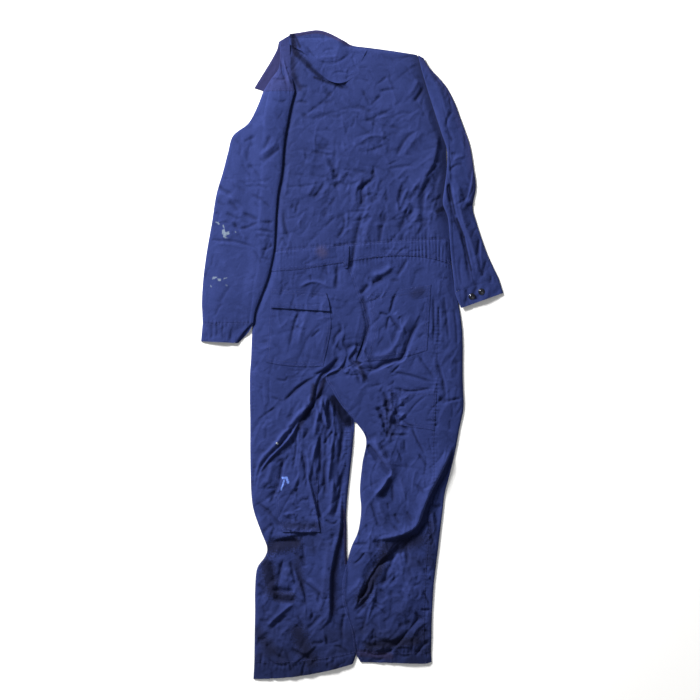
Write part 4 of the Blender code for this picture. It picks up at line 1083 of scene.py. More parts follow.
def tube_rise(distance):
    """A flattened tube's rise from its fold: a quarter round, then a slow slope."""
    q = np.clip(distance / 11.0, 0.0, 1.0)
    return 0.45 * np.sqrt(q * (2 - q)) + 0.55 * smooth(distance / 42.0)


def settings():
    """The cloth's sizes and colours."""
    return bpy.context.scene.boiler_suit_cloth


def stage_settings():
    """The floor's, lights' and camera's settings."""
    return bpy.context.scene.boiler_suit_stage


def node(tree, kind, inputs=None, **values):
    """A shader node with its settings and its inputs: a socket is linked, a value is set."""
    made = tree.nodes.new(kind)
    for name, value in values.items():
        setattr(made, name, value)
    for name, value in (inputs or {}).items():
        if isinstance(value, bpy.types.NodeSocket):
            tree.links.new(value, made.inputs[name])
        else:
            made.inputs[name].default_value = value
    return made


def sums(tree, operation, first, second=0.0, third=0.0, clamp=False):
    """A Math node's output."""
    made = node(tree, "ShaderNodeMath", {0: first, 1: second, 2: third}, operation=operation)
    made.use_clamp = clamp
    return made.outputs[0]


def blend_colours(tree, share, first, second):
    """The first colour at share 0, the second at 1."""
    made = node(tree, "ShaderNodeMix", {0: share, 6: first, 7: second}, data_type="RGBA")
    return made.outputs[2]


def effect_group(name, inputs, outputs):
    """An empty node group with named sockets: (name, type, default)."""
    tree = bpy.data.node_groups.new(name, "ShaderNodeTree")
    for label, kind, value in inputs:
        socket = tree.interface.new_socket(label, in_out="INPUT", socket_type=kind)
        if value is not None:
            socket.default_value = value
    for label, kind in outputs:
        tree.interface.new_socket(label, in_out="OUTPUT", socket_type=kind)
    return tree, tree.nodes.new("NodeGroupInput").outputs, tree.nodes.new("NodeGroupOutput")


@lru_cache(maxsize=None)
def twill_weave():
    """Twill: a sine across the diagonal ribs, cut by a finer one along the weft, plus fuzz."""
    tree, given, out = effect_group(
        "Twill Weave",
        (("Vector", "NodeSocketVector", None), ("Ribs per metre", "NodeSocketFloat", 900.0)),
        (("Height", "NodeSocketFloat"), ("Shade", "NodeSocketFloat")),
    )
    parts = node(tree, "ShaderNodeSeparateXYZ", {0: given["Vector"]}).outputs
    turns = sums(tree, "MULTIPLY", given["Ribs per metre"], 6.2832)
    diagonal = sums(tree, "ADD", parts[0], sums(tree, "MULTIPLY", parts[1], 0.6))
    ribs = sums(tree, "SINE", sums(tree, "MULTIPLY", diagonal, turns))
    weft = sums(tree, "SINE", sums(tree, "MULTIPLY", parts[1], sums(tree, "MULTIPLY", turns, 1.9)))
    fuzz = node(tree, "ShaderNodeTexNoise", {"Vector": given["Vector"], "Scale": 700.0, "Detail": 2.0})
    height = sums(tree, "MULTIPLY_ADD", weft, 0.35, ribs)
    height = sums(tree, "MULTIPLY_ADD", fuzz.outputs[0], 1.2, height)
    tree.links.new(height, out.inputs["Height"])
    shade = sums(tree, "MULTIPLY_ADD", ribs, 0.25, fuzz.outputs[0])
    tree.links.new(shade, out.inputs["Shade"])
    return tree


@lru_cache(maxsize=None)
def washed_tone():
    """Dye worn pale on crests and darkened in troughs as painted shade, over slow and fine cloudiness."""
    tree, given, out = effect_group(
        "Washed Tone",
        (
            ("Vector", "NodeSocketVector", None),
            ("Dye", "NodeSocketColor", (0.03, 0.04, 0.18, 1.0)),
            ("Worn", "NodeSocketColor", (0.06, 0.08, 0.28, 1.0)),
            ("Dark tone and trough shade", "NodeSocketColor", (0.02, 0.025, 0.1, 1.0)),
            ("Crest", "NodeSocketFloat", 0.0),
        ),
        (("Color", "NodeSocketColor"),),
    )
    slow = node(tree, "ShaderNodeTexNoise", {"Vector": given["Vector"], "Scale": 9.0, "Detail": 4.0})
    fine = node(tree, "ShaderNodeTexNoise", {"Vector": given["Vector"], "Scale": 75.0, "Detail": 5.0})
    cloud = sums(tree, "MULTIPLY_ADD", fine.outputs[0], 0.6, slow.outputs[0])
    light_clouds = sums(tree, "MULTIPLY_ADD", cloud, 1.1, -0.72)
    pale = sums(tree, "MULTIPLY_ADD", given["Crest"], 0.22, light_clouds, clamp=True)
    dark_clouds = sums(tree, "MULTIPLY_ADD", cloud, -1.0, 0.72)
    # Painted shade: troughs, where the crest is below nought, are darkened, and so are dark clouds.
    deep = sums(tree, "MULTIPLY_ADD", given["Crest"], -0.36, dark_clouds, clamp=True)
    colour = blend_colours(tree, pale, given["Dye"], given["Worn"])
    colour = blend_colours(tree, deep, colour, given["Dark tone and trough shade"])
    tree.links.new(colour, out.inputs["Color"])
    return tree


@lru_cache(maxsize=None)
def mark_group():
    """A dab along a short line: 1 within Radius of the segment From-To, with a ragged edge."""
    tree, given, out = effect_group(
        "Mark",
        (
            ("Vector", "NodeSocketVector", None),
            ("From", "NodeSocketVector", None),
            ("To", "NodeSocketVector", None),
            ("Radius", "NodeSocketFloat", 0.005),
            ("Softness", "NodeSocketFloat", 0.002),
            ("Ragged", "NodeSocketFloat", 0.5),
        ),
        (("Mask", "NodeSocketFloat"),),
    )

    def vectors(operation, first, second):
        return node(tree, "ShaderNodeVectorMath", {0: first, 1: second}, operation=operation)

    flat = vectors("MULTIPLY", given["Vector"], (1.0, 1.0, 0.0)).outputs[0]
    arm = vectors("SUBTRACT", given["To"], given["From"]).outputs[0]
    out_of = vectors("SUBTRACT", flat, given["From"]).outputs[0]
    size = vectors("DOT_PRODUCT", arm, arm).outputs["Value"]
    share = vectors("DOT_PRODUCT", out_of, arm).outputs["Value"]
    share = sums(tree, "DIVIDE", share, sums(tree, "ADD", size, 1e-9), clamp=True)
    reach = node(tree, "ShaderNodeVectorMath", {0: arm, "Scale": share}, operation="SCALE").outputs[0]
    away = vectors("SUBTRACT", out_of, reach).outputs[0]
    gap = node(tree, "ShaderNodeVectorMath", {0: away}, operation="LENGTH")
    rag = node(tree, "ShaderNodeTexNoise", {"Vector": flat, "Scale": 260.0, "Detail": 3.0})
    ragged = sums(tree, "MULTIPLY", sums(tree, "SUBTRACT", rag.outputs[0], 0.5), given["Ragged"])
    swing = sums(tree, "MULTIPLY", given["Radius"], 2.0)
    edge = sums(tree, "MULTIPLY_ADD", ragged, swing, gap.outputs["Value"])
    inside = sums(tree, "SUBTRACT", given["Radius"], edge)
    mask = sums(tree, "DIVIDE", inside, given["Softness"], clamp=True)
    tree.links.new(mask, out.inputs["Mask"])
    return tree


def group_node(tree, group, inputs):
    """A node that runs a node group on the given inputs."""
    made = tree.nodes.new("ShaderNodeGroup")
    made.node_tree = group
    for name, value in inputs.items():
        if isinstance(value, bpy.types.NodeSocket):
            tree.links.new(value, made.inputs[name])
        else:
            made.inputs[name].default_value = value
    return made


THREAD = (0.028, 0.036, 0.16, 1.0)
PALE_THREAD = (0.06, 0.075, 0.27, 1.0)
STEEL = (0.035, 0.037, 0.052, 1.0)
SCUFFED_STEEL = (0.090, 0.095, 0.125, 1.0)
SHEEN_TINT = (0.55, 0.6, 1.0, 1.0)
SHEEN = 0.03
SHEEN_ROUGHNESS = 0.45
CLOTH_SPECULAR = 0.08
PAINT = (0.13, 0.165, 0.22, 1.0)
SKY_PAINT = (0.10, 0.17, 0.50, 1.0)
CREAM = (0.36, 0.40, 0.42, 1.0)
# Painted shade: a deep blue laid in the dark hollows of the legs and round the neck under the collar.
PAINTED_SHADE = (0.0045, 0.0060, 0.026, 1.0)
# Painted shadow: near black laid in deep cavities, the right sleeve's slit, the crotch and the neck under
# the collar.
PAINTED_HOLLOW_SHADE = (0.0005, 0.0016, 0.0115, 1.0)
WORN_SEAM = (0.018, 0.0145, 0.042, 1.0)
BROWN = (0.040, 0.034, 0.075, 1.0)
# A grease stain on the right seat, and painted shade in the dark hollows and fold shadows of the legs.
GREASE_AND_SHADE = (0.0050, 0.0062, 0.0210, 1.0)

# Marks on the cloth: colour, how strong, radius, softness, raggedness, then the two ends. Paint, a stain
# and worn seams are the cloth's own; the darkest marks are painted shade.
MARKS = {
    "sleeve_left": (
        (PAINT, 0.85, 5.0, 1.5, 1.6, (-319, 309), (-316, 298)),
        (PAINT, 0.85, 4.5, 1.5, 1.6, (-314, 303), (-308, 304)),
        (PAINT, 0.75, 2.6, 1.2, 1.4, (-337, 332), (-331, 328)),
        (PAINT, 0.75, 2.0, 1.2, 1.4, (-320, 324), (-318, 318)),
        (PAINT, 0.55, 1.8, 1.2, 1.6, (-317, 292), (-309, 292)),
        (PAINT, 0.55, 1.8, 1.2, 1.6, (-290, 308), (-289, 306)),
        (PAINT, 0.75, 3.0, 1.2, 1.6, (-345, 191), (-337, 194)),
        (PAINT, 0.85, 3.4, 1.2, 1.6, (-331, 188), (-328, 187)),
        (PAINT, 0.65, 2.2, 1.2, 1.6, (-318, 190), (-312, 193)),
        (PAINT, 0.50, 1.8, 1.2, 1.6, (-351, 173), (-350, 170)),
        (PAINT, 0.40, 2.0, 1.2, 1.6, (-313, 175), (-311, 173)),
    ),
    "sleeve_right": (
        (PAINTED_HOLLOW_SHADE, 0.80, 3.4, 3.0, 0.4, (243, 424), (258, 352)),
        (PAINTED_HOLLOW_SHADE, 0.90, 4.2, 3.2, 0.4, (262, 340), (280, 294)),
        (PAINTED_HOLLOW_SHADE, 0.85, 3.6, 3.0, 0.4, (280, 294), (298, 212)),
        (PAINTED_HOLLOW_SHADE, 0.60, 2.4, 2.4, 0.4, (298, 212), (303, 184)),
    ),
    "left_leg": (
        (SKY_PAINT, 0.95, 3.4, 1.5, 0.8, (-172, -306), (-162, -306)),
        (SKY_PAINT, 0.95, 3.4, 1.5, 0.8, (-162, -306), (-158, -318)),
        (SKY_PAINT, 0.95, 2.6, 1.5, 0.8, (-168, -312), (-175, -336)),
        (CREAM, 0.95, 2.6, 1.2, 0.3, (-186, -219), (-184, -221)),
        (GREASE_AND_SHADE, 0.90, 26.0, 18.0, 0.9, (-204, -482), (-140, -470)),
        (GREASE_AND_SHADE, 0.85, 24.0, 17.0, 0.9, (-214, -520), (-196, -590)),
        (GREASE_AND_SHADE, 0.85, 17.0, 12.0, 0.8, (-186, -602), (-150, -604)),
        (GREASE_AND_SHADE, 0.60, 15.0, 13.0, 0.8, (-134, -500), (-126, -580)),
        (GREASE_AND_SHADE, 0.85, 28.0, 20.0, 0.9, (-134, -690), (-100, -764)),
        (GREASE_AND_SHADE, 0.60, 20.0, 16.0, 0.9, (-236, -690), (-200, -735)),
        (GREASE_AND_SHADE, 0.60, 16.0, 13.0, 0.8, (-160, -424), (-84, -426)),
        (PAINTED_HOLLOW_SHADE, 0.95, 17.0, 9.0, 0.4, (-44, -112), (-8, -168)),
        (PAINTED_HOLLOW_SHADE, 0.60, 10.0, 8.0, 0.4, (-28, -150), (-26, -190)),
        (PAINTED_HOLLOW_SHADE, 0.90, 4.0, 3.0, 0.4, (-67, -62), (-78, -90)),
        (GREASE_AND_SHADE, 0.9, 9.0, 8.0, 0.4, (-94, -76), (-98, -112)),
        (GREASE_AND_SHADE, 0.7, 12.0, 10.0, 0.4, (-108, -136), (-132, -180)),
        (PAINTED_SHADE, 0.85, 10.0, 7.0, 0.4, (-68, -62), (-84, -104)),
        (PAINTED_SHADE, 0.75, 14.0, 11.0, 0.6, (-46, -640), (-44, -540)),
        (PAINTED_SHADE, 0.75, 12.0, 10.0, 0.6, (-42, -540), (-24, -440)),
        (WORN_SEAM, 0.80, 4.0, 3.0, 0.4, (-19, -385), (-14, -520)),
    ),
    "right_leg": (
        (GREASE_AND_SHADE, 0.55, 19.0, 14.0, 0.4, (158, 152), (172, 158)),
        (GREASE_AND_SHADE, 0.7, 10.0, 9.0, 0.4, (6, 0), (34, -60)),
        (GREASE_AND_SHADE, 0.45, 17.0, 16.0, 0.4, (122, -482), (136, -470)),
        (GREASE_AND_SHADE, 0.75, 24.0, 18.0, 0.7, (84, -478), (170, -462)),
        (GREASE_AND_SHADE, 0.95, 22.0, 17.0, 0.8, (84, -500), (24, -610)),
        (GREASE_AND_SHADE, 0.60, 18.0, 16.0, 0.8, (200, -420), (196, -520)),
        (GREASE_AND_SHADE, 0.95, 20.0, 15.0, 0.8, (46, -726), (160, -712)),
        (GREASE_AND_SHADE, 0.55, 16.0, 14.0, 0.8, (176, -690), (196, -740)),
        (GREASE_AND_SHADE, 0.45, 20.0, 18.0, 0.8, (88, -120), (98, -196)),
        (WORN_SEAM, 0.60, 12.0, 7.0, 0.6, (20, -744), (96, -752)),
    ),
    "collar": (
        (PAINTED_SHADE, 1.0, 9.0, 5.0, 0.4, (-146, 798), (-142, 762)),
        (PAINTED_SHADE, 0.9, 5.0, 4.0, 0.4, (-138, 790), (-129, 768)),
    ),
    "torso": (
        (PAINTED_HOLLOW_SHADE, 0.90, 9.0, 6.0, 0.4, (214, 358), (230, 366)),
        (PAINTED_SHADE, 0.95, 12.0, 7.0, 0.4, (-147, 786), (-138, 752)),
        (PAINTED_HOLLOW_SHADE, 0.75, 10.0, 7.0, 0.4, (-138, 752), (-106, 722)),
        (PAINTED_HOLLOW_SHADE, 0.80, 8.0, 6.0, 0.4, (-110, 722), (-76, 692)),
        (PAINTED_HOLLOW_SHADE, 0.75, 6.0, 5.0, 0.4, (-92, 692), (-24, 668)),
        (PAINTED_SHADE, 0.75, 9.0, 7.0, 0.4, (-148, 740), (-146, 700)),
        (PAINTED_SHADE, 0.75, 9.0, 7.0, 0.4, (-144, 696), (-128, 664)),
        (BROWN, 0.55, 19.0, 16.0, 0.4, (-76, 259), (-72, 255)),
    ),
}


@lru_cache(maxsize=None)
def cloth_material(area):
    """Blue cotton twill for one area, with its marks, some of them painted shade. It is rough, with a faint
    nap.
    """
    material = bpy.data.materials.new("Blue twill " + area.replace("_", " "))
    material.use_nodes = True
    tree = material.node_tree
    shader = tree.nodes["Principled BSDF"]
    chosen = settings()
    place = node(tree, "ShaderNodeTexCoord").outputs["Object"]
    weave_place = node(tree, "ShaderNodeUVMap", uv_map="cloth").outputs[0]
    crest = node(tree, "ShaderNodeAttribute", attribute_name="crest").outputs["Fac"]
    tint = node(tree, "ShaderNodeAttribute", attribute_name="tint").outputs["Fac"]
    darkening = node(tree, "ShaderNodeAttribute", attribute_name="darkening").outputs["Fac"]
    weave = group_node(tree, twill_weave(), {"Vector": weave_place})
    tone = group_node(tree, washed_tone(), {
        "Vector": place, "Dye": (*chosen.dye, 1.0), "Worn": (*chosen.worn, 1.0),
        "Dark tone and trough shade": (*chosen.deep, 1.0), "Crest": crest})
    colour = blend_colours(tree, tint, tone.outputs["Color"], (*chosen.faded, 1.0))
    # Darkening: painted shade beside the sleeves on the back; on the legs, darker towards the hems, at the
    # knees and in patches.
    colour = blend_colours(tree, darkening, colour, (*chosen.darkened, 1.0))
    shade = sums(tree, "MULTIPLY_ADD", weave.outputs["Shade"], 0.30, 0.85)
    colour = node(tree, "ShaderNodeVectorMath", {0: colour, "Scale": shade}, operation="SCALE").outputs[0]
    upper = node(tree, "ShaderNodeAttribute", attribute_name="upper").outputs["Fac"]
    roughness = sums(tree, "MULTIPLY_ADD", weave.outputs["Shade"], 0.10, 0.80)
    # Marks, painted shade among them, laid on the upward faces.
    for mark_colour, strength, radius, softness, ragged, start, end in MARKS.get(area, ()):
        mark = group_node(tree, mark_group(), {
            "Vector": place, "Radius": radius * MM, "Softness": softness * MM, "Ragged": ragged,
            "From": (start[0] * MM, start[1] * MM, 0.0), "To": (end[0] * MM, end[1] * MM, 0.0)})
        share = sums(tree, "MULTIPLY", sums(tree, "MULTIPLY", mark.outputs["Mask"], strength), upper)
        colour = blend_colours(tree, share, colour, mark_colour)
    tree.links.new(colour, shader.inputs["Base Color"])
    tree.links.new(roughness, shader.inputs["Roughness"])
    shader.inputs["Specular IOR Level"].default_value = CLOTH_SPECULAR
    shader.inputs["Sheen Weight"].default_value = SHEEN
    shader.inputs["Sheen Roughness"].default_value = SHEEN_ROUGHNESS
    shader.inputs["Sheen Tint"].default_value = SHEEN_TINT
    fibre = node(tree, "ShaderNodeTexNoise", {"Vector": place, "Scale": 190.0, "Detail": 4.0})
    low = node(tree, "ShaderNodeBump", {"Height": fibre.outputs[0], "Strength": 0.55, "Distance": 0.0011})
    top = node(tree, "ShaderNodeBump", {
        "Height": weave.outputs["Height"], "Strength": 0.35, "Distance": 0.0002, "Normal": low.outputs[0]})
    tree.links.new(top.outputs[0], shader.inputs["Normal"])
    material.diffuse_color = (*chosen.dye, 1.0)
    return material


@lru_cache(maxsize=None)
def thread_material():
    """Polyester sewing thread, a little glossier than the cloth, ribbed by its twist."""
    material = bpy.data.materials.new("Blue thread")
    material.use_nodes = True
    tree = material.node_tree
    shader = tree.nodes["Principled BSDF"]
    place = node(tree, "ShaderNodeTexCoord").outputs["Object"]
    cloud = node(tree, "ShaderNodeTexNoise", {"Vector": place, "Scale": 120.0, "Detail": 2.0})
    colour = blend_colours(tree, cloud.outputs[0], THREAD, PALE_THREAD)
    tree.links.new(colour, shader.inputs["Base Color"])
    rough = sums(tree, "MULTIPLY_ADD", cloud.outputs[0], 0.2, 0.4)
    tree.links.new(rough, shader.inputs["Roughness"])
    twist = node(tree, "ShaderNodeTexNoise", {"Vector": place, "Scale": 2600.0, "Detail": 1.0})
    bump = node(tree, "ShaderNodeBump", {"Height": twist.outputs[0], "Strength": 0.4, "Distance": 0.0001})
    tree.links.new(bump.outputs[0], shader.inputs["Normal"])
    return material


@lru_cache(maxsize=None)
def steel_material():
    """Blackened steel: dark and glossy, with fine scuffs."""
    material = bpy.data.materials.new("Blackened steel")
    material.use_nodes = True
    tree = material.node_tree
    shader = tree.nodes["Principled BSDF"]
    place = node(tree, "ShaderNodeTexCoord").outputs["Object"]
    scuff = node(tree, "ShaderNodeTexNoise", {"Vector": place, "Scale": 900.0, "Detail": 6.0})
    colour = blend_colours(tree, scuff.outputs[0], STEEL, SCUFFED_STEEL)
    tree.links.new(colour, shader.inputs["Base Color"])
    rough = sums(tree, "MULTIPLY_ADD", scuff.outputs[0], 0.20, 0.12)
    tree.links.new(rough, shader.inputs["Roughness"])
    shader.inputs["Metallic"].default_value = 1.0
    return material


def faces_of(rows, columns, ring):
    """Quads of a grid; a ring's last column joins its first."""
    i = np.arange(rows - 1)[:, None]
    j = np.arange(columns if ring else columns - 1)[None, :]
    k = (j + 1) % columns
    corners = (i * columns + j, i * columns + k, (i + 1) * columns + k, (i + 1) * columns + j)
    return np.stack(corners, axis=-1).reshape(-1, 4)


def new_mesh(name, points, quads, material):
    """A mesh from an array of points in millimetres and one of quads."""
    mesh = bpy.data.meshes.new(name)
    mesh.vertices.add(len(points))
    mesh.vertices.foreach_set("co", (points * MM).astype(np.float32).ravel())
    mesh.loops.add(quads.size)
    mesh.loops.foreach_set("vertex_index", quads.astype(np.int32).ravel())
    mesh.polygons.add(len(quads))
    mesh.polygons.foreach_set("loop_start", np.arange(0, quads.size, quads.shape[1], dtype=np.int32))
    mesh.update(calc_edges=True)
    mesh.validate()
    mesh.shade_smooth()
    edge_of_loop = np.empty(len(mesh.loops), dtype=np.int32)
    mesh.loops.foreach_get("edge_index", edge_of_loop)
    free = np.bincount(edge_of_loop, minlength=len(mesh.edges)) == 1
    mesh.attributes.new("sharp_edge", "BOOLEAN", "EDGE").data.foreach_set("value", free)
    mesh.materials.append(material)
    piece = bpy.data.objects.new(name, mesh)
    bpy.context.scene.collection.objects.link(piece)
    return piece


def lengths(points, axis):
    """Running length over the plan along one axis of a grid."""
    steps = np.linalg.norm(np.diff(points, axis=axis), axis=-1)
    first = np.zeros_like(np.take(steps, [0], axis=axis))
    return np.concatenate([first, np.cumsum(steps, axis=axis)], axis=axis)


def cut_of(points, ring):
    """Flat width, length and area of the cut in metres: the grid's own lengths over the plan,
    times the ease that the creases take up."""
    flat = points[..., :2]
    if ring:
        flat = np.concatenate([flat, flat[:, :1]], axis=1)
    width = lengths(flat, 1)[:, -1].max()
    length = lengths(flat, 0)[-1].max()
    side = flat[1:, :-1] - flat[:-1, :-1]
    over = flat[:-1, 1:] - flat[:-1, :-1]
    area = np.abs(side[..., 0] * over[..., 1] - side[..., 1] * over[..., 0]).sum()
    width, length = width * EASE * MM, length * EASE * MM
    return width, length, min(area * EASE * EASE * MM * MM, width * length)


def lay(node_name, points, area, rests_on, ring=False, tint=0.0, darkening=0.0, outer=None):
    """Puts one cloth piece in place of a node of the frame. points is the grid of its outer face in
    millimetres. outer is the index of a place on the grid that faces up. rests_on names the nodes under it,
    or the floor; it is not used."""
    name = node_name + "_cloth"
    row, column = outer or (points.shape[0] // 2, points.shape[1] // 2)
    here = points[row, column]
    across = points[row, (column + 1) % points.shape[1]] - here
    if np.cross(across, points[row + 1, column] - here)[2] < 0:
        points = points[:, ::-1]
    rows, columns = points.shape[:2]
    GRIDS[name] = points
    quads = faces_of(rows, columns, ring)
    piece = new_mesh(name, points.reshape(-1, 3), quads, cloth_material(area))
    mesh = piece.data
    normals = np.zeros(rows * columns * 3, np.float32)
    mesh.vertices.foreach_get("normal", normals)
    upper = (normals.reshape(-1, 3)[:, 2] > 0.05).astype(np.float32)
    crest = sample(crest_of(area), points[..., 0], points[..., 1]).ravel()
    values = {"crest": np.clip(crest, -2.0, 2.0) * upper, "upper": upper}
    values["tint"] = value_over(tint, points).ravel()
    values["darkening"] = value_over(darkening, points).ravel()
    for label, value in values.items():
        layer = mesh.attributes.new(label, "FLOAT", "POINT")
        layer.data.foreach_set("value", np.ascontiguousarray(value, dtype=np.float32))
    u = lengths(points[..., :2], 1)
    v = np.repeat(lengths(points[..., :2], 0)[:, columns // 2:columns // 2 + 1], columns, axis=1)
    places = (np.stack([u, v], axis=-1).reshape(-1, 2) * MM).astype(np.float32)
    corner = np.zeros(len(mesh.loops), np.int32)
    mesh.loops.foreach_get("vertex_index", corner)
    uv = places[corner]
    if ring:
        last = np.repeat(np.arange(len(quads)) % columns, 4) == columns - 1
        close = (corner % columns == 0) & last
        uv[close, 0] += np.take(u[:, -1] * MM, corner[close] // columns)
    mesh.uv_layers.new(name="cloth").data.foreach_set("uv", uv.ravel())
    wall = piece.modifiers.new("Cloth wall", "SOLIDIFY")
    wall.thickness = settings().wall
    wall.offset = -1.0
    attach(piece, BODY)
    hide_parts(node_name)
    width, length, flat_area = cut_of(points, ring)
    rests_on = [under if under == "floor" else under + "_cloth" for under in rests_on]
    return piece


def value_over(given, points):
    """A value given as a number or as a function of the grid's points, as one array."""
    return given(points) if callable(given) else np.full(points.shape[:2], float(given))


def even_shares(width, step):
    """Even shares from 0 to 1 over a width, no further apart than step."""
    return np.linspace(0.0, 1.0, max(3, int(np.ceil(width / step)) + 1))


def panel_grid(top, x, y):
    """The grid of points over plan points, at the height that top gives."""
    return np.stack([x, y, top(x, y)], axis=-1)


def fly_sides(y):
    """The fly's two sides at height y: parallel, then narrowing to its tip."""
    narrow = np.clip((PLACKET_TAPER - y) / (PLACKET_TAPER - PLACKET_TIP), 0.0, 1.0)
    left = PLACKET[0] + (CENTRE_FRONT - 1.0 - PLACKET[0]) * narrow
    right = PLACKET[1] + (CENTRE_FRONT + 1.0 - PLACKET[1]) * narrow
    return left, right


def front_top(area):
    """Upper face of a front panel: flat on the surface, with a few low waves inside it that stay
    under the back."""
    def top(x, y):
        wave = 1.6 * smooth((noise(x, y, 120.0, 801) - 0.05) / 0.4)
        wave = wave + 1.1 * crumple(x, y, 70.0, 2.0, 70.0, 811)
        left, right = body_inside(x, y, area)
        wave = wave * smooth(np.minimum(left, right) / 45.0)
        room = body_top(x, y, area) - CLOTH - 0.25
        return np.clip(CLOTH + wave, CLOTH, np.maximum(room, CLOTH))
    return top


def front_sections(table, side, step):
    """A table's sections from its own side of the suit to the fly."""
    places = places_along(table, step)
    rows = along(table, places)
    x0, y0, x1, y1 = rows[:, 0], rows[:, 1], rows[:, 2], rows[:, 3]
    slope = (y1 - y0) / (x1 - x0)
    left, right = fly_sides(y0 + slope * (CENTRE_FRONT - x0))
    start, stop = (x0, left - GAP) if side == "left" else (right + GAP, x1)
    u = even_shares(240.0, step)[None, :]
    x = start[:, None] * (1 - u) + stop[:, None] * u
    return x, y0[:, None] + slope[:, None] * (x - x0[:, None])


LEG_SPAN = 260.0        # widths that set how many columns a panel has
BODICE_SPAN = 468.0
WAIST_SPAN = 470.0
WAIST_DEPTH = 56.0
HALF_COLUMNS = 26       # columns on each side of the right leg's outer fold


def lay_front_bodice(side, step):
    """One front panel above the waist seam, and its stretch of the waistband."""
    top = front_top("torso")
    x, y = front_sections(BODICE, side, step)
    lay(f"front_bodice_{side}", panel_grid(top, x, y), "torso", ["floor"])
    x, y = front_sections(WAIST, side, step)
    share = np.linspace(0.0, 1.0, len(y))[:, None]
    y = y[:1] * (1 - share) + (waist_seam(x[-1:]) + 2 * GAP) * share
    lay(f"waistband_front_{side}", panel_grid(top, x, y), "torso", ["floor"])


def lay_placket(straight, tapered, across):
    """The fly's strip from the neck to its tip: how many rows it has above and below the place
    where it starts to narrow, and how many columns."""
    left_x, left_y, right_x, right_y = BODICE[-1][:4]
    neck = left_y + (right_y - left_y) * (0.5 * sum(PLACKET) - left_x) / (right_x - left_x)
    upper = np.linspace(neck, PLACKET_TAPER, straight)
    y = np.concatenate([upper, np.linspace(PLACKET_TAPER, PLACKET_TIP, tapered)[1:]])
    left, right = fly_sides(y)
    u = np.linspace(0.0, 1.0, across)[None, :]
    x = left[:, None] * (1 - u) + right[:, None] * u
    y = np.repeat(y[:, None], across, axis=1)
    lay("front_placket", panel_grid(front_top("torso"), x, y), "torso", ["floor"])


def lay_fronts():
    """The hidden side: two fronts, their waistband, the fly and the left leg's front."""
    step = settings().coarse_cell / MM
    for side in ("left", "right"):
        lay_front_bodice(side, step)
    lay_placket(70, 24, 6)
    places = places_along(LEFT_LEG, step)
    rows = along(LEFT_LEG, places)
    fly, _ = fly_sides(rows[:, 3])
    stop = np.where(rows[:, 3] > PLACKET_TIP - GAP, np.minimum(fly - GAP, rows[:, 2]), rows[:, 2])
    u = even_shares(LEG_SPAN, step)[None, :]
    x = rows[:, :1] * (1 - u) + stop[:, None] * u
    y = rows[:, 1:2] * (1 - u) + rows[:, 3:4] * u + 0.5 * rows[:, 4:5] * 4 * u * (1 - u)
    y += (waist_seam(x[:1]) - y[:1]) * (1 - smooth(places))[:, None]
    grid = panel_grid(front_top("left_leg"), x, y)
    lay("leg_front_left", grid, "left_leg", ["floor"], darkening=leg_darkening)


def leg_darkening(points):
    """Darker towards the hems, at the knees and in patches."""
    x, y = points[..., 0], points[..., 1]
    low = smooth((-540.0 - y) / 260.0)
    knee = np.exp(-((y + 500.0) / 90.0) ** 2)
    patches = smooth((noise(x, y, 60.0, 71) + noise(x, y, 22.0, 72) * 0.6 + 0.15) / 0.6)
    return np.clip(low * (0.62 + 0.38 * patches) + 0.45 * knee * patches, 0.0, 1.0)


def bodice_painted_shade(points):
    """Painted shade along the sleeves' inner edges where they lie on the back, over a slight darkening of
    the whole back.
    """
    x, y = points[..., 0], points[..., 1]
    left = np.exp(-np.abs(x - edge_at(y, LEFT_SLEEVE_INNER)) / 15.0) * smooth((y - 250.0) / 80.0)
    right = np.exp(-np.abs(edge_at(y, RIGHT_SLEEVE_INNER) - x) / 12.0) * smooth((y - 300.0) / 80.0)
    return 0.12 + 0.75 * np.maximum(0.5 * left, right)


def lay_bodice():
    """The back above the waist seam."""
    step = settings().cell / MM
    places = places_along(BODICE, step)
    x, y = sections(BODICE, places, even_shares(BODICE_SPAN, step), bow=4)
    lay("back_bodice", panel_grid(torso_top, x, y), "torso",
        ["front_bodice_left", "front_bodice_right"], darkening=bodice_painted_shade)


def lay_waistband():
    """The back waistband, a strip between the waist seam and the bodice, raised by a layer."""
    step = settings().fine_cell / MM
    x, y = sections(WAIST, np.array([0.0, 1.0]), even_shares(WAIST_SPAN, step), bow=4)
    y[1] = waist_seam(x[1]) + 2 * GAP
    share = np.linspace(0.0, 1.0, int(WAIST_DEPTH / step))[:, None]
    x = x[:1] * (1 - share) + x[1:] * share
    y = y[:1] * (1 - share) + y[1:] * share
    inside = np.minimum(share, 1 - share) * 50.0
    side = smooth(np.minimum(*body_inside(x, y, "torso")) / 8.0)
    z = torso_top(x, y) + 0.8 * smooth(inside / 5.0) * side
    lay("waistband_back", np.stack([x, y, z], axis=-1), "torso", ["waistband_front_left"])


def leg_plan(table, places, shares, far):
    """Plan grid of a leg panel, its first section moved onto the waist seam."""
    x, y = sections(table, places, shares, 0, far, bow=4 if far == 2 and table is LEFT_LEG else 6)
    start = sections(table, np.array([0.0]), shares, 0, far)
    y = y + (waist_seam(start[0]) - start[1]) * (1 - smooth(places))[:, None]
    return x, y


def lay_left_leg(step):
    """The left leg's back."""
    places = places_along(LEFT_LEG, step)
    x, y = leg_plan(LEFT_LEG, places, even_shares(268.0, step), 2)
    grid = panel_grid(left_top, x, y)
    lay("leg_back_left", grid, "left_leg", ["leg_front_left"], darkening=leg_darkening)


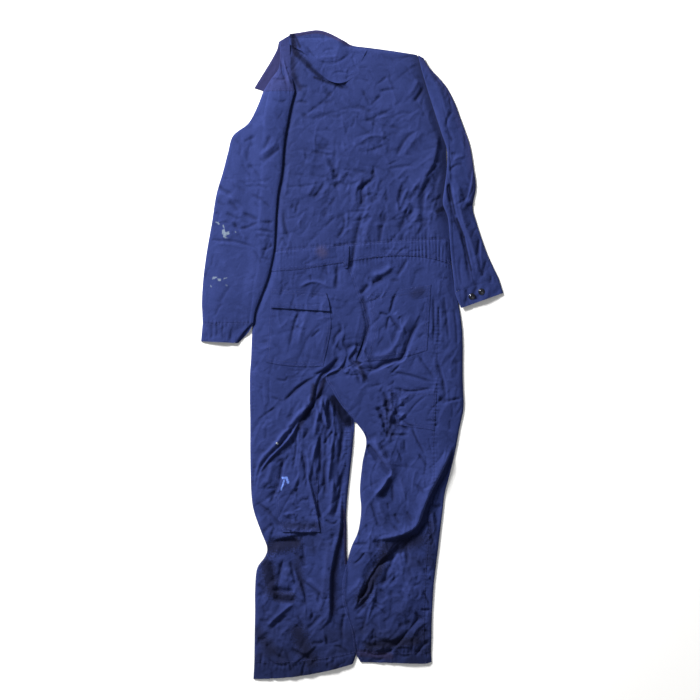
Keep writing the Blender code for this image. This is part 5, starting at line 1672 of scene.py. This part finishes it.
def lay_right_leg(step):
    """The right leg's back, and its front, which comes round the outer fold to the side seam."""
    places = places_along(RIGHT_LEG, step)
    shares = even_shares(250.0, step)
    x, y = leg_plan(RIGHT_LEG, places, shares, 2)
    x = x + GAP * (1 - shares)[None, :]
    grid = panel_grid(right_top, x, y)
    lay("leg_back_right", grid, "right_leg", ["leg_front_right"], darkening=leg_darkening)
    rows = along(RIGHT_LEG, places)
    fly = fly_sides(rows[:, 1])[1] + GAP
    crotch = np.interp(rows[:, 1], (-209.0, -168.0), (-99.0, CENTRE_FRONT + 1.5))
    inner = np.where(rows[:, 1] > PLACKET_TIP, fly, np.maximum(rows[:, 0], crotch))
    under = np.linspace(0.0, 1.0, HALF_COLUMNS)[None, :]
    x = inner[:, None] * (1 - under) + rows[:, 4:5] * under
    y = rows[:, 1:2] * (1 - under) + rows[:, 5:6] * under
    y += (waist_seam(x[:1]) - y[:1]) * (1 - smooth(places))[:, None]
    lying = smooth((-440.0 - y) / 50.0) * smooth((edge_at(y, LEFT_INNER) + 22.0 - x) / 16.0)
    z = lying * (left_top(x, y) + GAP)
    over = np.linspace(0.0, 1.0, HALF_COLUMNS)[None, :]
    top_x = rows[:, 4:5] * (1 - over) + (rows[:, 2:3] + GAP) * over
    top_y = rows[:, 5:6] * (1 - over) + rows[:, 3:4] * over
    seam = waist_seam(top_x[:1]) - top_y[:1]
    top_y = top_y + seam * (1 - smooth(places))[:, None]
    top_z = right_top(top_x, top_y)
    grid = np.stack([np.hstack([x, top_x]), np.hstack([y, top_y]), np.hstack([z, top_z])], axis=-1)
    upward = (len(grid) // 2, 40)
    lay("leg_front_right", grid, "right_leg", ["floor"], darkening=leg_darkening, outer=upward)


def lay_legs():
    """Both legs, but for the left one's front."""
    step = settings().cell / MM
    lay_left_leg(step)
    lay_right_leg(step)


ROW_PITCH = 45.0        # usual distance between two sections of a leg
LEG_WIDTH = 255.0       # and a leg's usual width
PATCH_RIM = 0.2         # how much a patch's rim is drawn down


def patch(name, table, top, spans, lift, area, under, bulge=0.0, tilt=0.0):
    """A patch sewn on a leg: its part of the leg's plan, lifted by a layer or two. bulge raises
    its middle and tilt its lower edge."""
    step = settings().fine_cell / MM
    (v0, v1), (u0, u1) = spans
    height = (v1 - v0) * ROW_PITCH
    places = np.linspace(v0, v1, int(height / step) + 8)
    width = (u1 - u0) * LEG_WIDTH
    shares = u0 + (u1 - u0) * even_shares(width, step)
    x, y = leg_plan(table, places, shares, 2)
    across = np.minimum(shares - u0, u1 - shares)[None, :] * LEG_WIDTH
    down = np.minimum(places - v0, v1 - places)[:, None] * ROW_PITCH
    inside = np.minimum(across, down)
    drop = ((places - v0) / (v1 - v0))[:, None] ** 2
    rim = -PATCH_RIM * np.exp(-inside / 3.0)
    z = top(x, y) + lift + bulge * smooth(inside / 30.0) + tilt * drop + rim
    darkening = leg_darkening if v0 > 6 else 0.0
    lay(name, np.stack([x, y, z], axis=-1), area, [under], darkening=darkening)


def lay_pockets():
    """Every pocket, and the left back pocket's flap."""
    one = CLOTH + GAP
    left = (LEFT_LEG, left_top)
    right = (RIGHT_LEG, right_top)
    patch("back_pocket_left", *left, ((2, 5), (0.14, 0.69)), one, "left_leg", "leg_back_left", bulge=0.15)
    patch("pocket_flap_left", *left, ((1, 3), (0.14, 0.69)), 2 * one + 0.4, "left_leg",
          "back_pocket_left", tilt=2.6)
    patch("leg_pocket_left", *left, ((10, 13), (0.25, 0.69)), one, "left_leg", "leg_back_left", tilt=2.0)
    patch("back_pocket_right", *right, ((1, 5), (0.10, 0.87)), one, "right_leg", "leg_back_right",
          bulge=0.15)
    patch("rule_pocket_right", *right, ((7, 9), (0.54, 1.0)), one, "right_leg", "leg_back_right")


def tube_shares(width, step):
    """Shares across a tube, closer together at its two folds."""
    s = even_shares(width, step)
    return s - 0.09 * np.sin(2 * np.pi * s)


def tube_heights(x, y, shares, width, area):
    """Under and over faces of a flattened tube: the over one adds its opening, the rise from both
    folds times the puff, and the relief."""
    under = sleeve_rest(x, y)
    left = shares * width
    right = (1 - shares) * width
    puff = TUBE_PUFF * tube_rise(left) * tube_rise(right)
    fade = smooth(np.minimum(left, right) / 9.0)
    over = under + TUBE_OPEN + puff + fade * sample(relief_of(area), x, y)
    return under, np.maximum(over, under + TUBE_OPEN)


def tube(name, table, area, rests_on, tint=0.0):
    """A flattened tube: a ring that runs out under and back over."""
    step = settings().cell / MM
    places = places_along(table, step)
    rows = along(table, places)
    width = np.hypot(rows[:, 2] - rows[:, 0], rows[:, 3] - rows[:, 1])[:, None]
    shares = tube_shares(width.max(), step)
    x, y = sections(table, places, shares)
    under, over = tube_heights(x, y, shares[None, :], width, area)
    low = np.stack([x, y, under], axis=-1)
    high = np.stack([x, y, over], axis=-1)[:, ::-1]
    points = np.concatenate([low, high], axis=1)
    upward = (len(points) // 2, points.shape[1] * 3 // 4)
    lay(name, points, area, rests_on, ring=True, tint=tint, outer=upward)


# The left cuff's upper layer has slipped back from its opening: outer fold, inner edge.
LEFT_CUFF_OVER = (
    (-372.0, 79.1, -246.0, 80.0),
    (-374.0, 57.0, -268.0, 57.0),
    (-376.0, 34.0, -287.0, 30.0),
)


def open_cuff():
    """The left cuff, open along its inner side: in under the arm, round the outer fold and back
    over, where its edge lies short of the layer under it."""
    step = settings().fine_cell / MM
    places = places_along(LEFT_CUFF, step)
    shares = even_shares(128.0, step)
    x, y = sections(LEFT_CUFF, places, shares)
    under = sleeve_rest(x, y) + 0.7 * smooth((shares - 0.8) / 0.2) * np.sin(y / 4.0)
    low = np.stack([x, y, under], axis=-1)[:, ::-1]
    rows = along(LEFT_CUFF_OVER, places)
    width = np.hypot(rows[:, 2] - rows[:, 0], rows[:, 3] - rows[:, 1])[:, None]
    x, y = sections(LEFT_CUFF_OVER, places, shares)
    bottom, over = tube_heights(x, y, shares[None, :], width, "sleeve_left")
    over = over + 2.6 * smooth((shares - 0.75) / 0.25)[None, :] * smooth((76.0 - y) / 16.0)
    high = np.stack([x, y, over], axis=-1)
    points = np.concatenate([low, high], axis=1)
    upward = (len(points) // 2, points.shape[1] * 3 // 4)
    lay("cuff_left", points, "sleeve_left", ["leg_back_left"], outer=upward)


def right_edge_tint(points):
    """The right sleeve's outer edge is faded towards purple."""
    x, y = points[..., 0], points[..., 1]
    outer = edge_at(y, edge_curve(RIGHT_SLEEVE + RIGHT_CUFF[1:], 0))
    return 0.35 * smooth((x - outer + 22.0) / 20.0) * smooth((y - 330.0) / 120.0)


def lay_sleeves():
    """Both sleeves and both cuffs."""
    tube("sleeve_left", LEFT_SLEEVE, "sleeve_left", ["back_bodice"])
    open_cuff()
    tube("sleeve_right", RIGHT_SLEEVE, "sleeve_right", ["back_bodice"], tint=right_edge_tint)
    tube("cuff_right", RIGHT_CUFF, "sleeve_right", ["leg_front_right"])


# The visible fall of the collar: its free edge, then its upper fold.
COLLAR_SHOWN = (
    (-156.0, 774.0, -155.0, 798.5),
    (-138.0, 764.0, -130.0, 802.0),
    (-118.0, 752.0, -106.0, 806.0),
    (-99.0, 725.0, -88.0, 808.0),
    (-76.0, 699.0, -68.0, 805.0),
    (-55.0, 683.0, -44.0, 795.0),
    (-32.0, 677.0, -22.0, 783.0),
    (-12.0, 682.0, 0.0, 773.0),
    (6.0, 694.0, 40.0, 764.0),
)


def collar_tint(points):
    """A faded purple band along the collar's upper fold."""
    x, y = points[..., 0], points[..., 1]
    top = np.interp(x, [row[2] for row in COLLAR_SHOWN], [row[3] for row in COLLAR_SHOWN])
    return 0.9 * smooth((y - top + 7.0) / 3.0) * smooth((8.0 - x) / 16.0)


def lay_collar_fall(step):
    """The fall lies over the neck, its free edge lifted, and rolls down behind at its fold."""
    places = places_along(COLLAR_SHOWN, step)
    u = even_shares(110.0, step)
    x, y = sections(COLLAR_SHOWN, places, u)
    deep = np.hypot(x[:, -1] - x[:, 0], y[:, -1] - y[:, 0])[:, None]
    clear = torso_top(x, y) + CLOTH + GAP
    level = BACK_TOP + LOFT * rise(790.0 - y) * 0.9 + 1.6
    lift = np.maximum(level - clear, 0.0) + 2.8 * np.exp(-u * deep / 8.0) + 1.6 * u ** 2
    over_shoulder = 2.6 * smooth((-142.0 - x) / 9.0)
    sunk = 0.75 * smooth((x + 24.0) / 24.0)
    z = clear - sunk + lift * smooth((-2.0 - x) / 30.0) + over_shoulder
    fade = smooth(np.minimum(u, 1 - u) * deep / 8.0)
    z = z + fade * sample(relief_of("collar"), x, y)
    radius = z[:, -1:] - CLOTH
    turn = np.radians(np.arange(1, 7) * 15.0)[None, :]
    roll_x = x[:, -1:] + 0 * turn
    roll_y = y[:, -1:] + np.minimum(radius, 4.0) * np.sin(turn)
    roll_z = z[:, -1:] - radius * (1 - np.cos(turn))
    columns = [np.hstack(pair) for pair in ((x, roll_x), (y, roll_y), (z, roll_z))]
    points = np.stack(columns, axis=-1)
    upward = (len(points) // 2, 10)
    lay("collar_fall", points, "collar", ["back_bodice"], tint=collar_tint, outer=upward)


def lay_shoulder(step):
    """The front yoke where it turns over the left shoulder; near the sleeve it takes the
    sleeve's creases."""
    places = places_along(SHOULDER, step)
    u = even_shares(80.0, step)
    x, y = sections(SHOULDER, places, u)
    y = y + GAP
    width = np.hypot(x[:, -1] - x[:, 0], y[:, -1] - y[:, 0])[:, None]
    seam = 0.30 + 0.70 * smooth((712.0 - y) / 50.0)
    puff = TUBE_PUFF * tube_rise(u * width) * tube_rise((1 - u) * width) * seam
    fade = smooth(np.minimum(u, 1 - u) * width / 7.0)
    z = sleeve_rest(x, y) + 1.2 + (TUBE_OPEN - 1.2) * smooth((700.0 - y) / 40.0) + puff
    beside = smooth((684.0 - y) / 24.0)
    collar = sample(relief_of("collar"), x, y)
    own = (1 - beside) * collar + beside * sample(relief_of("sleeve_left"), x, y)
    z = np.maximum(z + fade * own, 3.0)
    lay("shoulder_left", np.stack([x, y, z], axis=-1), "collar", ["back_bodice"], tint=0.3)


def lay_collar_point(step):
    """The collar's left point, flat on the surface beside the shoulder."""
    places = places_along(COLLAR_POINT, step)
    u = even_shares(30.0, step)
    x, y = sections(COLLAR_POINT, places, u)
    width = np.hypot(x[:, -1] - x[:, 0], y[:, -1] - y[:, 0])[:, None]
    fade = smooth(np.minimum(u, 1 - u) * width / 6.0)
    creases = np.maximum(sample(relief_of("collar"), x, y), -0.5)
    z = CLOTH + 1.4 * (1 - u) ** 2 * fade + 0.5 * fade * creases + 0.3
    z = np.clip(z, CLOTH, 2.4)
    lay("collar_point_left", np.stack([x, y, z], axis=-1), "collar", ["floor"], tint=0.7)


def lay_collar():
    """The collar's two stretches that show, and the shoulder between them."""
    step = settings().fine_cell / MM
    lay_collar_fall(step)
    lay_shoulder(step)
    lay_collar_point(step)


def lay_loop():
    """The belt loop: a doubled strip, bowed up between its two sewn ends."""
    step = settings().fine_cell / MM
    places = places_along(BELT_LOOP, step)
    u = even_shares(14.0, 1.4)
    x, y = sections(BELT_LOOP, places, u)
    t = (places / places[-1])[:, None]
    round_end = 3.0 * (2 * np.abs(u - 0.5)[None, :]) ** 3
    y = y + round_end * smooth((t - 0.8) / 0.2) - round_end * smooth((0.2 - t) / 0.2)
    z = torso_top(x, y) + 0.8 + CLOTH + GAP + 1.0 * (4 * t * (1 - t)) ** 0.6
    lay("belt_loop", np.stack([x, y, z], axis=-1), "torso", ["waistband_back"])


STUD_RINGS = 30
STUD_SIDES = 48
STUD_PROFILE = (
    # radius, height
    (0.0, 0.0), (7.5, 0.0), (7.7, 0.3), (7.5, 0.7), (6.9, 0.95), (6.4, 1.0), (6.0, 0.8), (5.6, 0.8),
    (5.2, 1.2), (4.8, 1.7), (4.0, 2.1), (2.8, 2.4), (1.4, 2.55), (0.0, 2.6),
)


def close_poles(piece):
    """Joins the points that lie together at each pole, and turns the faces outward."""
    solid = bmesh.new()
    solid.from_mesh(piece.data)
    bmesh.ops.remove_doubles(solid, verts=solid.verts, dist=1e-6)
    bmesh.ops.recalc_face_normals(solid, faces=solid.faces)
    solid.to_mesh(piece.data)
    solid.free()


def lay_studs():
    """Press stud caps: the profile turned about its own axis."""
    skin = GRIDS["cuff_right_cloth"].reshape(-1, 3)
    profile = along(STUD_PROFILE, np.linspace(0.0, len(STUD_PROFILE) - 1.0, STUD_RINGS))
    turn = np.linspace(0.0, 2 * np.pi, STUD_SIDES, endpoint=False)
    for number, (x, y) in enumerate(STUDS, start=1):
        near = np.hypot(skin[:, 0] - x, skin[:, 1] - y) < STUD_RADIUS
        base = skin[near, 2].max()
        radius = profile[:, :1]
        height = base + profile[:, 1:] + 0 * turn
        points = np.stack([x + radius * np.cos(turn), y + radius * np.sin(turn), height], axis=-1)
        name = f"cuff_stud_{number}"
        faces = faces_of(len(profile), STUD_SIDES, True)
        piece = new_mesh(name + "_cap", points.reshape(-1, 3), faces, steel_material())
        close_poles(piece)
        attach(piece, BODY)
        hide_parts(name)


def inset_line(points, side, inset, start=0.0, stop=1.0):
    """A line on a grid at a distance in from one of its edges, between two shares of that edge."""
    turned = {"first": points, "last": points[::-1]}
    if side in ("left", "right"):
        points = np.swapaxes(points, 0, 1)
        turned = {"left": points, "right": points[::-1]}
    grid = turned[side]
    run = lengths(grid, 0)
    share = np.clip(inset / run[-1], 0.0, 1.0) * (len(grid) - 1)
    low = np.clip(np.floor(share).astype(int), 0, len(grid) - 2)
    part = (share - low)[:, None]
    columns = np.arange(grid.shape[1])
    line = grid[low, columns] * (1 - part) + grid[low + 1, columns] * part
    count = len(line) - 1
    return line[int(start * count):int(np.ceil(stop * count)) + 1]


def stitch_points(line, pitch, long, wide):
    """Stitches along a line as slim double pyramids: two tips and four corners round the middle."""
    run = np.concatenate([[0.0], np.cumsum(np.linalg.norm(np.diff(line, axis=0), axis=1))])
    count = int(run[-1] / pitch)
    if count < 2:
        return np.zeros((0, 6, 3))
    middle = (np.arange(count) + 0.5) * pitch

    def at(places):
        return np.stack([np.interp(places, run, line[:, k]) for k in range(3)], axis=1)

    start, stop, centre = at(middle - 0.5 * long), at(middle + 0.5 * long), at(middle)
    ahead = stop - start
    ahead /= np.linalg.norm(ahead, axis=1, keepdims=True) + 1e-9
    side = np.cross(ahead, (0.0, 0.0, 1.0))
    side /= np.linalg.norm(side, axis=1, keepdims=True) + 1e-9
    up = np.cross(side, ahead)
    high = 0.5 * wide
    sides = (centre + side * high, centre + up * (high + 0.25), centre - side * high)
    return np.stack((start, *sides, centre - up * high, stop), axis=1)


STITCH_FACES = np.array((
    (0, 2, 1), (0, 3, 2), (0, 4, 3), (0, 1, 4), (5, 1, 2), (5, 2, 3), (5, 3, 4), (5, 4, 1)))
STITCH_PITCH = 3.4
STITCH_LONG = 2.6
STITCH_WIDE = 0.55
STITCH_LIFT = 0.12

# Rows of stitching on each piece: the edge they follow, their distances in from it, and from
# where to where along it.
POCKETS = ("back_pocket_left", "back_pocket_right", "rule_pocket_right", "leg_pocket_left")
STITCH_ROWS = {
    "pocket_stitches": (
        *((pocket, edge, (1.8, 8.0), 0.0, 1.0) for pocket in POCKETS for edge in ("left", "right", "last")),
        ("back_pocket_right", "first", (3.0, 24.0), 0.0, 1.0),
        ("rule_pocket_right", "first", (3.0, 16.0), 0.0, 1.0),
        ("pocket_flap_left", "first", (2.0, 8.0), 0.0, 1.0),
        ("pocket_flap_left", "left", (2.0,), 0.0, 1.0),
        ("pocket_flap_left", "right", (2.0,), 0.0, 1.0),
        ("pocket_flap_left", "last", (2.5, 8.5), 0.0, 1.0),
    ),
    "body_stitches": (
        ("waistband_back", "first", (2.0,), 0.0, 1.0),
        ("waistband_back", "last", (2.0, 8.0), 0.0, 1.0),
        ("back_bodice", "first", (3.0,), 0.0, 1.0),
        ("leg_back_left", "right", (2.0, 8.0), 0.0, 0.32),
        ("leg_back_left", "right", (2.5,), 0.40, 0.95),
        ("leg_back_left", "last", (38.0,), 0.0, 1.0),
        ("leg_back_left", "left", (7.0,), 0.1, 0.95),
        ("leg_back_right", "right", (2.0, 8.0), 0.0, 1.0),
        ("leg_back_right", "last", (28.0,), 0.0, 1.0),
        ("leg_back_right", "left", (3.0,), 0.22, 0.95),
        ("belt_loop", "left", (2.0,), 0.0, 1.0),
        ("belt_loop", "right", (2.0,), 0.0, 1.0),
    ),
    "collar_stitches": (
        ("collar_fall", "left", (3.0, 9.0), 0.0, 1.0),
        ("shoulder_left", "first", (2.0, 8.0), 0.0, 1.0),
        ("collar_point_left", "left", (4.0,), 0.0, 1.0),
    ),
    "sleeve_stitches": (
        ("sleeve_left", "last", (2.0,), 0.5, 1.0),
        ("cuff_left", "first", (3.0,), 0.0, 1.0),
        ("cuff_left", "last", (4.0,), 0.0, 1.0),
        ("sleeve_right", "last", (2.0,), 0.5, 1.0),
        ("cuff_right", "first", (3.0,), 0.5, 1.0),
        ("cuff_right", "last", (4.0,), 0.5, 1.0),
    ),
}


def lay_stitches():
    """Rows of stitches on the finished pieces, one object for each group."""
    for name, rows in STITCH_ROWS.items():
        stitches = []
        for piece, edge, insets, start, stop in rows:
            for inset in insets:
                line = inset_line(GRIDS[piece + "_cloth"], edge, inset, start, stop)
                line = line + (0.0, 0.0, STITCH_LIFT)
                stitches.append(stitch_points(line, STITCH_PITCH, STITCH_LONG, STITCH_WIDE))
        points = np.concatenate(stitches)
        first = np.arange(len(points))[:, None, None] * 6
        faces = (first + STITCH_FACES[None]).reshape(-1, 3)
        piece = new_mesh(name, points.reshape(-1, 3), faces, thread_material())
        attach(piece, BODY)


FLOOR_HALF = 6000.0
KEY_SIZE = (1.5, 1.0)
KEY_COLOUR = (1.0, 0.99, 0.97)
FILL_PLACE = (1.4, -1.2, 2.6)
FILL_SIZE = (2.4, 2.4)
FILL_COLOUR = (0.97, 0.98, 1.0)
SENSOR = 36.0


def area_light(name, place, size, power, colour):
    """A square light that faces the middle of the suit."""
    data = bpy.data.lights.new(name, "AREA")
    data.shape = "RECTANGLE"
    data.size, data.size_y = size
    data.energy = power
    data.color = colour
    lamp = bpy.data.objects.new(name, data)
    bpy.context.scene.collection.objects.link(lamp)
    lamp.location = place
    lamp.rotation_euler = Vector(place).to_track_quat("Z", "Y").to_euler()


def lay_stage():
    """A pale floor, a wide soft light from beyond the collar, a weak fill, and the camera over
    the suit."""
    chosen = stage_settings()
    corners = ((-1.0, -1.0, 0.0), (1.0, -1.0, 0.0), (1.0, 1.0, 0.0), (-1.0, 1.0, 0.0))
    points = FLOOR_HALF * np.array(corners)
    material = bpy.data.materials.new("Pale floor")
    material.use_nodes = True
    tree = material.node_tree
    shader = tree.nodes["Principled BSDF"]
    place = node(tree, "ShaderNodeTexCoord").outputs["Object"]
    cloud = node(tree, "ShaderNodeTexNoise", {"Vector": place, "Scale": 3.0, "Detail": 3.0})
    pale = (*chosen.floor_colour, 1.0)
    paler = (*(0.985 * value for value in chosen.floor_colour), 1.0)
    tree.links.new(blend_colours(tree, cloud.outputs[0], pale, paler), shader.inputs["Base Color"])
    rough = sums(tree, "MULTIPLY_ADD", cloud.outputs[0], 0.1, 0.8)
    tree.links.new(rough, shader.inputs["Roughness"])
    floor = new_mesh("floor", points, np.array([(0, 1, 2, 3)]), material)

    area_light("Key light", chosen.key_place, KEY_SIZE, chosen.key_power, KEY_COLOUR)
    area_light("Fill light", FILL_PLACE, FILL_SIZE, chosen.fill_power, FILL_COLOUR)
    world = bpy.data.worlds.new("Soft room")
    bpy.context.scene.world = world
    world.use_nodes = True
    sky = world.node_tree.nodes["Background"].inputs
    sky["Color"].default_value = (1.0, 1.0, 1.0, 1.0)
    sky["Strength"].default_value = chosen.room_strength
    bpy.context.scene.view_settings.view_transform = "Standard"

    data = bpy.data.cameras.new("Camera")
    data.sensor_width = SENSOR
    data.lens = SENSOR * chosen.camera_height / chosen.covered_width
    data.clip_end = 50.0
    camera = bpy.data.objects.new("Camera", data)
    camera.location = (chosen.camera_aim[0], chosen.camera_aim[1], chosen.camera_height)
    bpy.context.scene.collection.objects.link(camera)
    bpy.context.scene.camera = camera


class BoilerSuitCloth(bpy.types.PropertyGroup):
    """Sizes and colours of the cloth."""

    wall: FloatProperty(
        name="Wall", description="Thickness of the cloth",
        default=CLOTH * MM, unit="LENGTH")
    cell: FloatProperty(
        name="Cell", description="Spacing of the mesh on the panels",
        default=0.0027, unit="LENGTH")
    fine_cell: FloatProperty(
        name="Fine cell", description="Spacing of the mesh on small pieces",
        default=0.0022, unit="LENGTH")
    coarse_cell: FloatProperty(
        name="Hidden cell", description="Spacing of the mesh on the front, face down",
        default=0.009, unit="LENGTH")
    crease_strength: FloatProperty(
        name="Creases", description="Height of all creases, as a share",
        default=1.0, subtype="FACTOR")
    dye: FloatVectorProperty(
        name="Dye", description="Main colour of the cloth",
        default=(0.0141, 0.0228, 0.0945), subtype="COLOR")
    worn: FloatVectorProperty(
        name="Worn", description="Colour on worn crests",
        default=(0.0230, 0.0345, 0.134), subtype="COLOR")
    # Colour for dark clouds and for the painted shade in troughs.
    deep: FloatVectorProperty(
        name="Dark tone and trough shade", description="Colour in unworn troughs",
        default=(0.0080, 0.0120, 0.050), subtype="COLOR")
    faded: FloatVectorProperty(
        name="Faded", description="Purple cast of faded strips",
        default=(0.0225, 0.0205, 0.068), subtype="COLOR")
    # Colour that the darkening blends towards; on the back it is painted shade.
    darkened: FloatVectorProperty(
        name="Darkened", description="Colour of soiled cloth",
        default=(0.0068, 0.0095, 0.034), subtype="COLOR")


class BoilerSuitStage(bpy.types.PropertyGroup):
    """The floor, the lights and the camera."""

    floor_colour: FloatVectorProperty(
        name="Floor", description="Colour of the floor",
        default=(0.86, 0.86, 0.86), subtype="COLOR")
    key_place: FloatVectorProperty(
        name="Key place", description="Where the key light stands",
        default=(-2.6, 2.6, 1.8), subtype="XYZ", unit="LENGTH")
    key_power: FloatProperty(
        name="Key power", description="Power of the key light",
        default=560.0, unit="POWER")
    fill_power: FloatProperty(
        name="Fill power", description="Power of the fill light",
        default=16.0, unit="POWER")
    room_strength: FloatProperty(
        name="Room", description="Strength of the even light of the room",
        default=0.26)
    camera_height: FloatProperty(
        name="Camera height", description="Height of the camera over the floor",
        default=3.2, unit="LENGTH")
    covered_width: FloatProperty(
        name="Covered width", description="Width of floor that the frame covers",
        default=1.75, unit="LENGTH")
    camera_aim: FloatVectorProperty(
        name="Camera aim", description="Floor point under the camera",
        default=(-0.00375, 0.0125), size=2, unit="LENGTH")


class BOILERSUIT_OT_lay_fronts(bpy.types.Operator):
    """The front panels, waistband and fly, face down on the surface."""

    bl_idname = "boiler_suit.lay_fronts"
    bl_label = "Fronts"

    def execute(self, context):
        lay_fronts()
        return {"FINISHED"}


class BOILERSUIT_OT_lay_bodice(bpy.types.Operator):
    """The back of the bodice, from the waist seam to the neck."""

    bl_idname = "boiler_suit.lay_bodice"
    bl_label = "Back bodice"

    def execute(self, context):
        lay_bodice()
        return {"FINISHED"}


class BOILERSUIT_OT_lay_waistband(bpy.types.Operator):
    """The back waistband with its elastic gathers."""

    bl_idname = "boiler_suit.lay_waistband"
    bl_label = "Waistband"

    def execute(self, context):
        lay_waistband()
        return {"FINISHED"}


class BOILERSUIT_OT_lay_legs(bpy.types.Operator):
    """The leg backs, and the right leg's front that folds round over them."""

    bl_idname = "boiler_suit.lay_legs"
    bl_label = "Legs"

    def execute(self, context):
        lay_legs()
        return {"FINISHED"}


class BOILERSUIT_OT_lay_pockets(bpy.types.Operator):
    """The back pockets, flap, rule pocket and leg pocket."""

    bl_idname = "boiler_suit.lay_pockets"
    bl_label = "Pockets"

    def execute(self, context):
        lay_pockets()
        return {"FINISHED"}


class BOILERSUIT_OT_lay_sleeves(bpy.types.Operator):
    """Both sleeves and cuffs as flattened tubes."""

    bl_idname = "boiler_suit.lay_sleeves"
    bl_label = "Sleeves"

    def execute(self, context):
        lay_sleeves()
        return {"FINISHED"}


class BOILERSUIT_OT_lay_collar(bpy.types.Operator):
    """The collar's fall and point, and the yoke over the left shoulder."""

    bl_idname = "boiler_suit.lay_collar"
    bl_label = "Collar"

    def execute(self, context):
        lay_collar()
        return {"FINISHED"}


class BOILERSUIT_OT_lay_loop(bpy.types.Operator):
    """The belt loop over the waistband."""

    bl_idname = "boiler_suit.lay_loop"
    bl_label = "Belt loop"

    def execute(self, context):
        lay_loop()
        return {"FINISHED"}


class BOILERSUIT_OT_lay_studs(bpy.types.Operator):
    """The press stud caps on the right cuff."""

    bl_idname = "boiler_suit.lay_studs"
    bl_label = "Studs"

    def execute(self, context):
        lay_studs()
        return {"FINISHED"}


class BOILERSUIT_OT_lay_stitches(bpy.types.Operator):
    """The rows of stitching."""

    bl_idname = "boiler_suit.lay_stitches"
    bl_label = "Stitches"

    def execute(self, context):
        lay_stitches()
        return {"FINISHED"}


class BOILERSUIT_OT_lay_stage(bpy.types.Operator):
    """The floor, lights and camera."""

    bl_idname = "boiler_suit.lay_stage"
    bl_label = "Stage"

    def execute(self, context):
        lay_stage()
        return {"FINISHED"}


STEPS = (
    "lay_fronts",
    "lay_bodice",
    "lay_waistband",
    "lay_legs",
    "lay_pockets",
    "lay_sleeves",
    "lay_collar",
    "lay_loop",
    "lay_studs",
    "lay_stitches",
    "lay_stage",
)


class BOILERSUIT_PT_steps(bpy.types.Panel):
    """The steps that lay out the suit, in their order, and their settings."""

    bl_label = "Boiler Suit"
    bl_space_type = "VIEW_3D"
    bl_region_type = "UI"
    bl_category = "Boiler Suit"

    def draw(self, context):
        for step in STEPS:
            self.layout.operator("boiler_suit." + step)
        for group in (context.scene.boiler_suit_cloth, context.scene.boiler_suit_stage):
            for name in group.__annotations__:
                self.layout.prop(group, name)


CLASSES = (
    BoilerSuitCloth,
    BoilerSuitStage,
    BOILERSUIT_OT_lay_fronts,
    BOILERSUIT_OT_lay_bodice,
    BOILERSUIT_OT_lay_waistband,
    BOILERSUIT_OT_lay_legs,
    BOILERSUIT_OT_lay_pockets,
    BOILERSUIT_OT_lay_sleeves,
    BOILERSUIT_OT_lay_collar,
    BOILERSUIT_OT_lay_loop,
    BOILERSUIT_OT_lay_studs,
    BOILERSUIT_OT_lay_stitches,
    BOILERSUIT_OT_lay_stage,
    BOILERSUIT_PT_steps,
)


def register():
    """Registers every class, and hangs the settings on the scene."""
    for item in CLASSES:
        bpy.utils.register_class(item)
    bpy.types.Scene.boiler_suit_cloth = PointerProperty(type=BoilerSuitCloth)
    bpy.types.Scene.boiler_suit_stage = PointerProperty(type=BoilerSuitStage)


def unregister():
    """Undoes register()."""
    del bpy.types.Scene.boiler_suit_stage
    del bpy.types.Scene.boiler_suit_cloth
    for item in reversed(CLASSES):
        bpy.utils.unregister_class(item)


def main():
    """Lays out the suit step by step."""
    register()
    for step in STEPS:
        getattr(bpy.ops.boiler_suit, step)()


if __name__ == "__main__":
    main()
